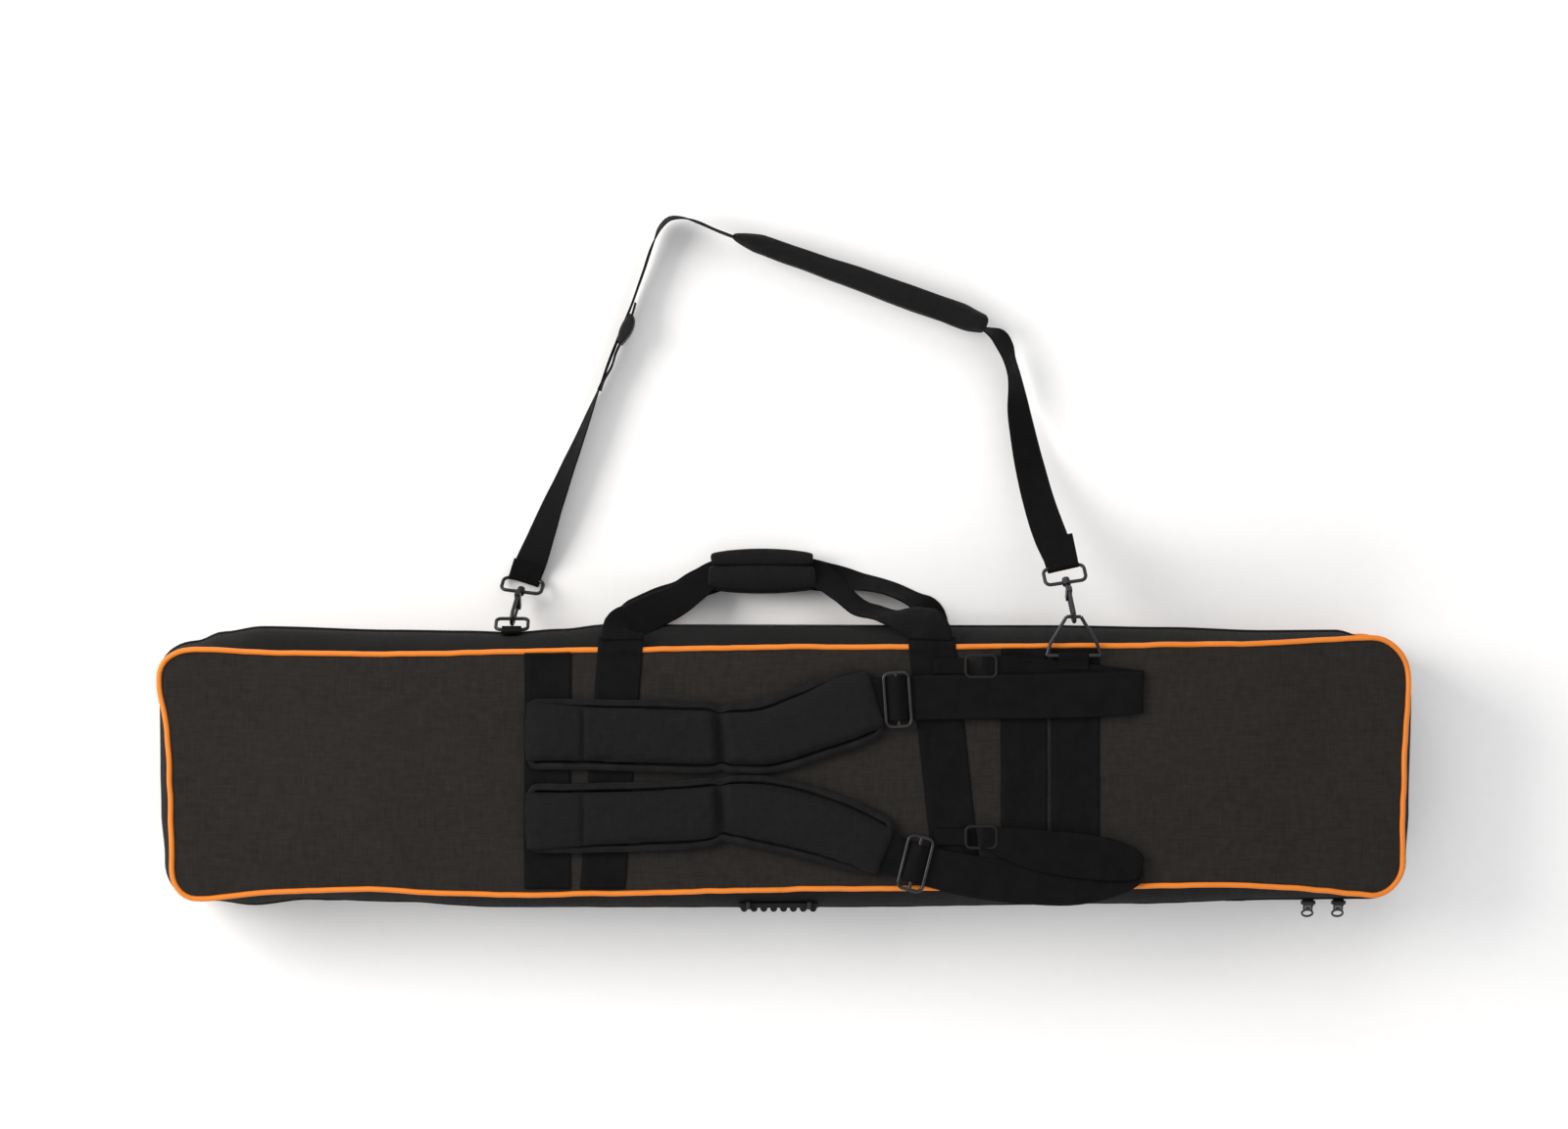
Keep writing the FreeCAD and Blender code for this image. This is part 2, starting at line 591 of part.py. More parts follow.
def eye(name, where):
    """The strap's end loop, with the boss that the hook's post turns in."""
    frame = wire_frame(name + "_loop", "20", "46", "6", "sizes.ring_wire")
    frame.Placement.Base = Vector(HOOK_REACH + 10, 0, 0)
    boss = cylinder(name + "_boss", 4.6, (HOOK_REACH - 3, 0, 0), (HOOK_REACH + 3, 0, 0))
    bore = cylinder(name + "_bore", POST + 0.1, (HOOK_REACH - 8, 0, 0), (HOOK_REACH + 12, 0, 0))
    blank = combine("Part::MultiFuse", name + "_blank", frame, boss)
    whole = combine("Part::Cut", name, blank, bore)
    whole.Placement = where.multiply(Placement(Vector(0, 0, 0), Rotation(Vector(1, 0, 0), 90)))
    keep(whole, name)


LEFT_EYE = Vector(-296, 206, 12)
RIGHT_EYE = Vector(313, 217, 118)
for side, ring, towards in (("left", LEFT_RING, LEFT_EYE), ("right", RIGHT_RING, RIGHT_EYE)):
    where = hook_frame(ring, towards)
    snap_hook(f"{side}_hook", where)
    gate(f"{side}_hook_gate", where)
    eye(f"{side}_strap_eye", where)


def eye_end(ring, towards):
    """The middle of the eye's outer bar, where the webbing is sewn round it."""
    return ring + (towards - ring).normalize() * (HOOK_REACH + 20)


left_end = eye_end(LEFT_RING, LEFT_EYE)
right_end = eye_end(RIGHT_RING, RIGHT_EYE)
strap_route = [
    (left_end.x + 3, left_end.y + 6, left_end.z - 0.8, 36, 0), (-281, 245, 3.2, 38, 0), (-263, 290, 2.6, 38, 0),
    (-244, 340, 5.5, 38, 12), (-224, 386, 16, 38, 50), (-205, 430, 23, 38, 90), (-158, 545, 23, 38, 90),
    (-146, 585, 25, 38, 90), (-136, 606, 27, 38, 90), (-122, 614, 29, 38, 90), (-102, 611.5, 31, 38, 90),
    (-80, 603.5, 31, 38, 90), (243, 487.5, 31, 38, 90), (253, 472, 30, 38, 90), (257, 440, 26, 38, 90),
    (257, 405, 22, 38, 88), (265, 350, 24, 38, 60), (283, 300, 46, 38, 20), (298, 262, 76, 38, 4),
    (right_end.x - 1.5, right_end.y + 4, right_end.z - 3.5, 36, 0),
]
keep(shaped("strap_webbing", ribbon(strap_route, WEBBING)), "strap_webbing")

PAD_START = Vector(-59, 596, 0)
PAD_DIRECTION = Vector(323, -116, 0).normalize()
ADJUSTER_CENTRE = Vector(-181.5, 487.5, 23.2)
ADJUSTER_DIRECTION = Vector(47, 115, 0).normalize()


def along_strap(centre, direction):
    """Local X runs along the strap and local Z stays vertical."""
    return Placement(centre, Rotation(Vector(0, 0, 1), math.degrees(math.atan2(direction.y, direction.x))))


def shoulder_pad():
    """The sleeve pad, standing on its edge with the webbing through its channel."""
    body = new_body("shoulder_pad")
    sketch = new_sketch(body, "pad_outline", offset="-sizes.shoulder_pad_width / 2")
    rounded_rectangle(sketch, "sizes.shoulder_pad_length", "sizes.shoulder_pad_depth",
                      "sizes.shoulder_pad_depth / 2 - 1")
    pad(body, sketch, "sizes.shoulder_pad_width")
    length = size("shoulder_pad_length")
    channel = box("pad_channel", (-length / 2 - 5, -2, -20.5), (length / 2 + 5, 2, 20.5))
    whole = combine("Part::Cut", "shoulder_pad", body, channel)
    whole.Placement = along_strap(PAD_START + PAD_DIRECTION * (length / 2) + Vector(0, 0, 31), PAD_DIRECTION)
    keep(whole, "shoulder_pad")


def strap_adjuster():
    """A moulded ladder adjuster: bars on both faces of the webbing, joined past its edges."""
    rails = [box(f"adjuster_rail_{side}", (-17, -4, side * 21.4 - 1.6), (17, 4, side * 21.4 + 1.6))
             for side in (-1, 1)]
    bars = [box(f"adjuster_bar_{step}", (x - 2.5, y - 1.3, -21), (x + 2.5, y + 1.3, 21))
            for step, (x, y) in enumerate(((-14.5, 2.7), (0, -2.7), (14.5, 2.7)))]
    whole = combine("Part::MultiFuse", "strap_adjuster", *rails, *bars)
    whole.Placement = along_strap(ADJUSTER_CENTRE, ADJUSTER_DIRECTION)
    keep(whole, "strap_adjuster")


shoulder_pad()
strap_adjuster()

# ---------------------------------------------------------------- check and write

doc.recompute()
faults = [f"{thing.Name}: {thing.State}" for thing in doc.Objects
          if "Invalid" in thing.State or "Error" in thing.State]
for name, thing in nodes.items():
    if thing.Shape.isNull() or not thing.Shape.isValid() or not thing.Shape.Solids:
        faults.append(f"{name}: shape is null, invalid or has no solid")
if faults:
    raise SystemExit("\n".join(faults))

os.makedirs("parts", exist_ok=True)
for name, thing in nodes.items():
    thing.Shape.exportStep(f"parts/{name}.step")
    print(f"{name}: {len(thing.Shape.Solids)} solid, {thing.Shape.Volume / 1000:.1f} cm3")
print(len(nodes), "nodes")
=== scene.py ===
import math

import bmesh
import bpy
from mathutils import Matrix, Vector, noise


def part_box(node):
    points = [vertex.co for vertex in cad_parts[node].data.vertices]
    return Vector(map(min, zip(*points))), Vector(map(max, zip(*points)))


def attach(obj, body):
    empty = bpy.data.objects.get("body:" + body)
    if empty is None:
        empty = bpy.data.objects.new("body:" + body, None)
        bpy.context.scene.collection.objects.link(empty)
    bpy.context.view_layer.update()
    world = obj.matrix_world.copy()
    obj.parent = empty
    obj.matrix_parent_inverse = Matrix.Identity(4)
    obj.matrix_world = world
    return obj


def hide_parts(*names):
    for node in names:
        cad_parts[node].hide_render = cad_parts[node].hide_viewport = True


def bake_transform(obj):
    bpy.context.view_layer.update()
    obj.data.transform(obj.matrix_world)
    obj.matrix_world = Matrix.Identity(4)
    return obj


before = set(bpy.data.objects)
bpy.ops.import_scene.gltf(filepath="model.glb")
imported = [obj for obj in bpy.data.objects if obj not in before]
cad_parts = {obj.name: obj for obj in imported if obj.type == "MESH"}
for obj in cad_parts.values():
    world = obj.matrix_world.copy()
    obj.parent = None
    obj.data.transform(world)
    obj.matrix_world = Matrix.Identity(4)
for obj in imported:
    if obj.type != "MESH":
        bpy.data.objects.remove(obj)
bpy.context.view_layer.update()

MM = 0.001


def vec(x, y, z):
    return Vector((x, y, z))


def linked(name, data):
    thing = bpy.data.objects.new(name, data)
    bpy.context.collection.objects.link(thing)
    return thing


# ---- camera and light

VIEW_WIDTH = 1.744          # metres across the picture, on the back panel
VIEW_CENTRE = (0.0, 0.228)  # the point in the middle of the picture
LENS, SENSOR = 135.0, 36.0
PANEL_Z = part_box("back_panel")[1].z

camera = linked("camera", bpy.data.cameras.new("camera"))
camera.data.lens = LENS
camera.data.sensor_width = SENSOR
camera.data.clip_end = 60
camera.location = (*VIEW_CENTRE, PANEL_Z + VIEW_WIDTH * LENS / SENSOR)
bpy.context.scene.camera = camera
bpy.context.scene.view_settings.view_transform = "Standard"


def area_light(name, place, target, width, height, power, colour=(1, 1, 1)):
    light = bpy.data.lights.new(name, "AREA")
    light.shape = "RECTANGLE"
    light.size = width
    light.size_y = height
    light.energy = power
    light.color = colour
    thing = linked(name, light)
    thing.location = place
    aim = Vector(target) - Vector(place)
    thing.rotation_euler = aim.to_track_quat("-Z", "Y").to_euler()


area_light("key_left", (-2.9, 1.2, 2.3), (-0.2, 0.1, 0), 2.2, 2.2, 126, (1.0, 0.96, 0.92))
area_light("fill_right", (2.9, -0.6, 2.6), (0.1, 0.1, 0), 2.4, 2.4, 14, (0.96, 0.98, 1.0))
area_light("back_top", (0.2, 3.0, 2.6), (0, 0.2, 0), 3.2, 2.0, 26)
area_light("front_top", (0.1, -2.8, 2.8), (0, 0.1, 0), 3.2, 2.0, 26)

world = bpy.data.worlds.new("studio")
bpy.context.scene.world = world
world.use_nodes = True
sky = world.node_tree.nodes["Background"].inputs
sky["Color"].default_value = (1, 1, 1, 1)
sky["Strength"].default_value = 0.58


# ---- materials

class Nodes:
    """A short way to write a material's node tree."""

    def __init__(self, name, colour, rough, **sockets):
        self.material = bpy.data.materials.new(name)
        self.material.use_nodes = True
        self.tree = self.material.node_tree
        self.shader = self.tree.nodes["Principled BSDF"]
        self.shader.inputs["Base Color"].default_value = (*colour, 1)
        self.shader.inputs["Roughness"].default_value = rough
        self.colour = colour
        for socket, value in sockets.items():
            self.shader.inputs[socket.replace("_", " ")].default_value = value

    def add(self, kind, **settings):
        node = self.tree.nodes.new(kind)
        for key, value in settings.items():
            setattr(node, key, value)
        return node

    def feed(self, socket, value):
        if isinstance(value, bpy.types.NodeSocket):
            self.tree.links.new(value, socket)
        else:
            socket.default_value = value

    def math(self, operation, first, second=0.0):
        node = self.add("ShaderNodeMath", operation=operation)
        self.feed(node.inputs[0], first)
        self.feed(node.inputs[1], second)
        return node.outputs[0]

    def times(self, first, second):
        return self.math("MULTIPLY", first, second)

    def plus(self, first, second):
        return self.math("ADD", first, second)

    def minus(self, first, second):
        return self.math("SUBTRACT", first, second)

    def along(self):
        """The piece's own cloth coordinates in metres: u along it and v across it."""
        split = self.add("ShaderNodeSeparateXYZ")
        self.tree.links.new(self.add("ShaderNodeUVMap", uv_map="cloth").outputs[0], split.inputs[0])
        return split.outputs[0], split.outputs[1]

    def noise(self, scale, u=None, v=None, detail=3.0, rough=0.6):
        """Noise over the cloth coordinates, stretched as u and v say, or over the piece in space."""
        node = self.add("ShaderNodeTexNoise")
        for socket, value in (("Scale", scale), ("Detail", detail), ("Roughness", rough)):
            node.inputs[socket].default_value = value
        if u is None:
            self.tree.links.new(self.add("ShaderNodeTexCoord").outputs["Object"], node.inputs["Vector"])
        else:
            join = self.add("ShaderNodeCombineXYZ")
            self.feed(join.inputs[0], u)
            self.feed(join.inputs[1], v)
            self.tree.links.new(join.outputs[0], node.inputs["Vector"])
        return node.outputs["Fac"]

    def wave(self, coordinate, pitch):
        """0 to 1 to 0 over each pitch."""
        return self.math("ABSOLUTE", self.math("SINE", self.times(coordinate, math.pi / pitch)))

    def near(self, coordinate, place, width):
        """1 on a line, falling to 0 at width from it."""
        away = self.math("ABSOLUTE", self.minus(coordinate, place))
        return self.minus(1.0, self.math("MINIMUM", self.math("DIVIDE", away, width), 1.0))

    def remap(self, value, limits, low, high):
        """Maps low to high onto 0 to 1 where limits is From, and the other way where it is To."""
        node = self.add("ShaderNodeMapRange")
        self.feed(node.inputs["Value"], value)
        node.inputs[f"{limits} Min"].default_value = low
        node.inputs[f"{limits} Max"].default_value = high
        return node.outputs[0]

    def contrast(self, value, low, high):
        return self.remap(value, "From", low, high)

    def tint(self, value, dark, light):
        """Base colour from dark to light times the material's colour."""
        ramp = self.add("ShaderNodeValToRGB")
        self.feed(ramp.inputs["Fac"], value)
        for end, share in zip(ramp.color_ramp.elements, (dark, light)):
            end.color = (*[min(c * share, 1) for c in self.colour], 1)
        self.tree.links.new(ramp.outputs["Color"], self.shader.inputs["Base Color"])

    def rough(self, value, low, high):
        self.tree.links.new(self.remap(value, "To", low, high), self.shader.inputs["Roughness"])

    def bump(self, height, distance, strength=0.8):
        node = self.add("ShaderNodeBump")
        node.inputs["Distance"].default_value = distance
        node.inputs["Strength"].default_value = strength
        self.feed(node.inputs["Height"], height)
        self.tree.links.new(node.outputs["Normal"], self.shader.inputs["Normal"])


def woven(name, colour, thread=1.1 * MM, slub=0.5, rough=0.8, sheen=0.03, depth=0.25 * MM, wear=0.25):
    """Plain-weave cloth: over-and-under threads, thick and thin yarns, and faint wear."""
    n = Nodes(name, colour, rough, Sheen_Weight=sheen, Sheen_Roughness=0.4, Specular_IOR_Level=0.08)
    u, v = n.along()
    cell = n.times(n.math("SINE", n.times(u, math.pi / thread)), n.math("SINE", n.times(v, math.pi / thread)))
    over = n.math("GREATER_THAN", cell, 0.0)
    warp = n.wave(u, thread)
    weft = n.wave(v, thread)
    height = n.plus(n.times(warp, over), n.times(weft, n.minus(1.0, over)))
    long_yarn = n.noise(1.0, n.times(u, 28), n.times(v, 620))
    cross_yarn = n.noise(1.0, n.times(u, 620), n.times(v, 28))
    yarn = n.contrast(n.times(n.plus(long_yarn, cross_yarn), 0.5), 0.34, 0.66)
    mottle = n.contrast(n.noise(130.0, detail=2.0), 0.3, 0.7)
    broad = n.contrast(n.noise(5.0, detail=5.0), 0.3, 0.7)
    patch = n.plus(n.times(mottle, 0.6), n.times(broad, 0.4))
    shade = n.plus(n.times(yarn, slub), n.times(patch, wear))
    shade = n.plus(shade, n.times(height, 1.0 - slub - wear))
    n.tint(shade, 0.45, 1.65)
    n.rough(yarn, rough - 0.12, rough + 0.14)
    n.bump(n.plus(height, n.times(yarn, 1.6)), depth)
    return n.material


def webbing(name, colour, stitches=(), pitch=1.7 * MM, rough=0.62):
    """Woven webbing: cross ribs, lengthwise cords and, where told, rows of stitches at those v."""
    n = Nodes(name, colour, rough, Specular_IOR_Level=0.03)
    u, v = n.along()
    slant = n.plus(u, n.times(n.wave(v, 9 * MM), 1.6 * MM))
    rib = n.wave(slant, pitch)
    cord = n.wave(v, 1.3 * MM)
    height = n.plus(n.times(rib, 0.65), n.times(cord, 0.35))
    patch = n.contrast(n.noise(60.0, detail=4.0), 0.3, 0.7)
    shade = n.plus(n.times(height, 0.6), n.times(patch, 0.4))
    for place in stitches:
        dash = n.math("GREATER_THAN", n.wave(u, 4.2 * MM), 0.42)
        row = n.times(n.near(v, place, 0.7 * MM), dash)
        shade = n.plus(shade, n.times(row, 0.9))
        height = n.minus(height, n.times(n.near(v, place, 1.6 * MM), 0.9))
        height = n.plus(height, n.times(row, 1.5))
    n.tint(shade, 0.45, 2.2)
    n.rough(patch, rough - 0.1, rough + 0.16)
    n.bump(height, 0.3 * MM)
    return n.material


def covered_cord(name, colour):
    """Bias-cut cloth pulled tight over a piping cord."""
    n = Nodes(name, colour, 0.5, Sheen_Weight=0.03, Sheen_Roughness=0.5, Specular_IOR_Level=0.3)
    u, v = n.along()
    slant = n.plus(u, v)
    thread = n.wave(slant, 0.9 * MM)
    patch = n.noise(22.0, detail=4.0)
    n.tint(n.plus(n.times(thread, 0.35), n.times(patch, 0.65)), 0.72, 1.22)
    n.rough(patch, 0.36, 0.58)
    n.bump(thread, 0.12 * MM)
    return n.material


def metal(name, colour, rough=0.28):
    """Dark plated wire with fine handling marks."""
    n = Nodes(name, colour, rough, Metallic=0.9)
    marks = n.noise(180.0, detail=6.0, rough=0.7)
    cloud = n.noise(35.0)
    n.tint(cloud, 0.6, 1.7)
    n.rough(marks, rough - 0.1, rough + 0.22)
    n.bump(marks, 0.05 * MM, 0.4)
    return n.material


def moulded(name, colour, rough=0.5, grain=260.0, depth=0.08 * MM):
    """Moulded plastic or rubber with a fine eroded grain."""
    n = Nodes(name, colour, rough, Specular_IOR_Level=0.2)
    fine = n.noise(grain, detail=4.0)
    broad = n.noise(18.0, detail=4.0)
    n.tint(broad, 0.7, 1.5)
    n.rough(fine, rough - 0.08, rough + 0.14)
    n.bump(fine, depth)
    return n.material


def floor_material():
    """Plain pale paper."""
    n = Nodes("floor_paper", (0.93, 0.93, 0.93), 0.9, Specular_IOR_Level=0.1)
    grain = n.noise(60.0)
    n.tint(grain, 0.99, 1.03)
    n.bump(grain, 0.05 * MM, 0.2)
    return n.material


PANEL_CLOTH = woven("panel_cloth", (0.0192, 0.0172, 0.0156), slub=0.55, wear=0.33)
GUSSET_CLOTH = woven("gusset_cloth", (0.0082, 0.0080, 0.0079), slub=0.5, wear=0.35, sheen=0.015)
PAD_CLOTH = woven("pad_cloth", (0.0090, 0.0090, 0.0092), thread=0.9 * MM, slub=0.5, wear=0.3, rough=0.74,
                  sheen=0.015)
BINDING_CLOTH = webbing("binding_tape", (0.0092, 0.0092, 0.0096), pitch=1.2 * MM)
LINING_CLOTH = woven("lining_cloth", (0.036, 0.037, 0.041), thread=0.7 * MM, slub=0.3, rough=0.5)
TAPE_CLOTH = webbing("zip_tape_cloth", (0.0080, 0.0080, 0.0082), pitch=1.1 * MM)
WEBBING_50 = webbing("webbing_50", (0.0040, 0.0040, 0.0043), (-21.5 * MM, 21.5 * MM))
WEBBING_44 = webbing("webbing_44", (0.0040, 0.0040, 0.0043), (-18.5 * MM, 18.5 * MM))
WEBBING_38 = webbing("webbing_38", (0.0040, 0.0040, 0.0043), (-15.5 * MM, 15.5 * MM))
WEBBING_PLAIN = webbing("webbing_plain", (0.0037, 0.0037, 0.0040))
PIPING_CLOTH = covered_cord("piping_cloth", (0.76, 0.205, 0.014))
METAL = metal("plated_wire", (0.034, 0.034, 0.037))
PLASTIC = moulded("acetal", (0.0065, 0.0065, 0.0070), 0.5)
RUBBER = moulded("grip_rubber", (0.009, 0.009, 0.009), 0.62, 190.0, 0.15 * MM)
COIL = moulded("zip_coil_nylon", (0.012, 0.012, 0.013), 0.38)


# ---- mesh helpers

def finish_piece(name, mesh_data, material, body, nodes=()):
    """Turns (points, faces, cloth coordinates of each point) into a piece of the object."""
    points, faces, cloth = mesh_data
    mesh = bpy.data.meshes.new(name)
    mesh.from_pydata([tuple(p) for p in points], [], faces)
    layer = mesh.uv_layers.new(name="cloth")
    for loop in mesh.loops:
        layer.data[loop.index].uv = cloth[loop.vertex_index]
    mesh.validate()
    mesh.shade_smooth()
    piece = linked(name, mesh)
    mesh.materials.append(material)
    register(piece, body, nodes)
    return piece


def register(piece, body, nodes=()):
    if body:
        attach(piece, body)
    if nodes:
        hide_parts(*nodes)


def add_modifier(piece, kind, **settings):
    modifier = piece.modifiers.new(kind.lower(), kind)
    for key, value in settings.items():
        setattr(modifier, key, value)
    return modifier


def between(stops, place):
    """A smooth value at place from a short list of (place, value)."""
    if place <= stops[0][0]:
        return stops[0][1]
    for (a, low), (b, high) in zip(stops, stops[1:]):
        if place <= b:
            t = (place - a) / (b - a)
            return low + (high - low) * (3 - 2 * t) * t * t
    return stops[-1][1]


def ripple(x, y, z, scale, seed=0.0):
    """Smooth noise from -1 to 1 with features of about scale metres."""
    return noise.noise(vec(x / scale + seed, y / scale - seed, z / scale))


def skin(rows, closed=True, cap=False):
    """Quads between rows of (point, cloth coordinate) pairs; closed rows join end to start."""
    pairs = [pair for row in rows for pair in row]
    count = len(rows[0])
    faces = []
    for start in range(0, len(pairs) - count, count):
        for step in range(count if closed else count - 1):
            after = (step + 1) % count
            faces.append((start + step, start + after, start + count + after, start + count + step))
    if cap:
        faces.append(tuple(reversed(range(count))))
        faces.append(tuple(range(len(pairs) - count, len(pairs))))
    return [point for point, _ in pairs], faces, [spot for _, spot in pairs]


def curve_through(stations, spacing=5 * MM):
    """Evenly spaced stations on a smooth curve through the given ones, each a tuple of numbers."""
    dense = []
    last = len(stations) - 2
    for step in range(last + 1):
        before = stations[max(step - 1, 0)]
        start, end = stations[step], stations[step + 1]
        after = stations[min(step + 2, last + 1)]
        run = (Vector(end[:3]) - Vector(start[:3])).length
        gap_before = max((Vector(start[:3]) - Vector(before[:3])).length, 1e-6)
        gap_after = max((Vector(after[:3]) - Vector(end[:3])).length, 1e-6)
        pieces = max(2, round(run / spacing))
        for part in range(pieces):
            t = part / pieces
            row = []
            for p, a, b, q in zip(before, start, end, after):
                slope_a = ((a - p) / gap_before + (b - a) / run) / 2 * run if step else b - a
                slope_b = ((b - a) / run + (q - b) / gap_after) / 2 * run if step < last else b - a
                row.append((2 * t ** 3 - 3 * t ** 2 + 1) * a + (t ** 3 - 2 * t ** 2 + t) * slope_a
                           + (3 * t ** 2 - 2 * t ** 3) * b + (t ** 3 - t ** 2) * slope_b)
            dense.append(tuple(row))
    dense.append(tuple(stations[-1]))
    return dense


def heading_at(places, step):
    ahead = places[min(step + 1, len(places) - 1)]
    return (ahead - places[max(step - 1, 0)]).normalized()


# A strap's section: a flat body with a slightly fuller selvedge at both edges, as fractions of
# half the width and half the thickness.
UNDERSIDE = [(-0.97, -0.6), (-0.9, -1.0), (-0.8, -0.86), (-0.4, -0.84), (0, -0.86), (0.4, -0.84),
             (0.8, -0.86), (0.9, -1.0), (0.97, -0.6)]
STRAP_SECTION = UNDERSIDE + [(1.0, 0.0)] + [(-across, -lift) for across, lift in UNDERSIDE] + [(-1.0, 0.0)]


def strap_mesh(route, thickness, spacing=5 * MM, ripples=0.0, seed=0.0, section=STRAP_SECTION, swell=()):
    """Webbing or a pad along stations (x, y, z, width, roll in degrees); swell scales its thickness."""
    stations = curve_through(route, spacing)
    places = [Vector(station[:3]) for station in stations]
    rows = []
    run = 0.0
    for step, (place, station) in enumerate(zip(places, stations)):
        along = heading_at(places, step)
        level = along.cross(vec(0, 0, 1))
        if level.length < 1e-4:
            level = vec(1, 0, 0)
        level.normalize()
        upward = level.cross(along)
        turn = math.radians(station[4])
        side = level * math.cos(turn) + upward * math.sin(turn)
        face = upward * math.cos(turn) - level * math.sin(turn)
        run += (place - places[step - 1]).length if step else 0.0
        fullness = between(swell, run) if swell else 1.0
        row = []
        for across, lift in section:
            reach = across * station[3] / 2
            wave = ripples * ripple(run, reach, 0.0, 0.03, seed) if ripples else 0.0
            height = lift * thickness / 2 * fullness
            row.append((place + side * reach + face * (height + wave),
                        (run, reach + (0.0002 if lift > 0 else 0.0))))
        rows.append(row)
    return skin(rows, cap=True)


def wrap_mesh(path, side, width, thickness=1.7 * MM):
    """Webbing that keeps one sideways direction, for loops round a bar."""
    side = Vector(side).normalized()
    places = [Vector(p) for p in curve_through([tuple(p) for p in path], 1.2 * MM)]
    rows = []
    run = 0.0
    for step, place in enumerate(places):
        face = heading_at(places, step).cross(side).normalized()
        run += (place - places[step - 1]).length if step else 0.0
        rows.append([(place + side * (across * width / 2) + face * (lift * thickness / 2),
                      (run, across * width / 2)) for across, lift in STRAP_SECTION])
    return skin(rows, cap=True)


def join_meshes(*parts):
    points, faces, cloth = [], [], []
    for part_points, part_faces, part_cloth in parts:
        start = len(points)
        points += part_points
        faces += [tuple(index + start for index in face) for face in part_faces]
        cloth += part_cloth
    return points, faces, cloth


def tube_mesh(path, radius, sides=12, squash=1.0):
    """A round tube along a closed path; squash flattens it from above."""
    rows = []
    run = 0.0
    normal = vec(0, 0, 1)
    for step, place in enumerate(path):
        along = (path[(step + 1) % len(path)] - path[step - 1]).normalized()
        normal = (normal - along * normal.dot(along)).normalized()
        other = along.cross(normal)
        run += (place - path[step - 1]).length if step else 0.0
        row = []
        for corner in range(sides):
            angle = 2 * math.pi * corner / sides
            point = place + normal * (math.cos(angle) * radius * squash) + other * (math.sin(angle) * radius)
            row.append((point, (run, radius * angle)))
        rows.append(row)
    points, faces, cloth = skin(rows + rows[:1])
    end = len(rows) * sides
    return points[:end], [tuple(index % end for index in face) for face in faces], cloth[:end]


# ---- the case: two soft trays

SEAM_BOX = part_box("back_piping")
PIPING_RADIUS = (SEAM_BOX[1].z - SEAM_BOX[0].z) / 2
SEAM_HALF = (SEAM_BOX[1].x - PIPING_RADIUS, SEAM_BOX[1].y - PIPING_RADIUS, 0.039)
SEAM_Z = (SEAM_BOX[1].z + SEAM_BOX[0].z) / 2
CREST_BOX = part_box("back_gusset")
CREST_HALF = (CREST_BOX[1].x, CREST_BOX[1].y, 0.044)
MID_Z = CREST_BOX[0].z - 0.010
CASE_TOP = 2 * MID_Z
LONG_STEPS, SHORT_STEPS, CORNER_STEPS = 190, 38, 10
HINGE_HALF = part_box("back_hinge_gusset")[1].x
TAPE_REACH = 0.0070
GUSSET_ROWS, GUSSET_WIDTH = 15, 0.068
HINGE_ROWS = 9
FINE_WELD, PANEL_WELD = 0.00002, 0.0002

# How far each side stands out from the even outline, as (place along the side, shift outwards).
SEAM_SHIFT = {
    "top": [(-0.655, -0.0075), (-0.56, -0.0115), (-0.436, -0.0125), (-0.2, -0.008), (0.0, -0.005),
        (0.3, -0.004), (0.5, -0.0015), (0.655, 0.005)],
    "bottom": [(-0.655, 0.003), (-0.56, -0.005), (-0.47, -0.008), (-0.37, -0.003), (-0.28, -0.001),
        (-0.21, -0.003), (0.0, -0.007), (0.02, -0.0082), (0.3, -0.010), (0.5, -0.0125), (0.56, -0.0098),
        (0.6, -0.0065), (0.63, -0.0030), (0.66, -0.001)],
    "left": [(-0.10, -0.012), (-0.05, -0.0105), (0.0, -0.009), (0.04, -0.0062), (0.10, 0.003)],
    "right": [(-0.10, -0.0045), (-0.04, -0.0045), (0.0, -0.003), (0.10, 0.002)],
}
CREST_SHIFT = {
    "top": [(-0.66, -0.009), (-0.63, 0.001), (-0.586, 0.007), (-0.436, 0.003), (-0.36, 0.002),
        (-0.306, 0.0005), (-0.25, 0.004), (-0.2, 0.009), (0.3, 0.008), (0.43, 0.006), (0.54, 0.0025),
        (0.62, 0.003), (0.655, -0.006)],
    "bottom": [(-0.64, -0.002), (-0.596, 0.003), (-0.536, -0.003), (-0.436, 0.0), (-0.32, 0.006),
        (0.05, 0.006), (0.4, 0.002), (0.56, -0.003), (0.65, -0.004)],
    "left": [(-0.1, -0.006), (-0.05, -0.002), (0.0, -0.001), (0.1, 0.0)],
    "right": [(-0.1, -0.003), (-0.05, 0.0), (0.08, 0.003), (0.11, 0.0)],
}


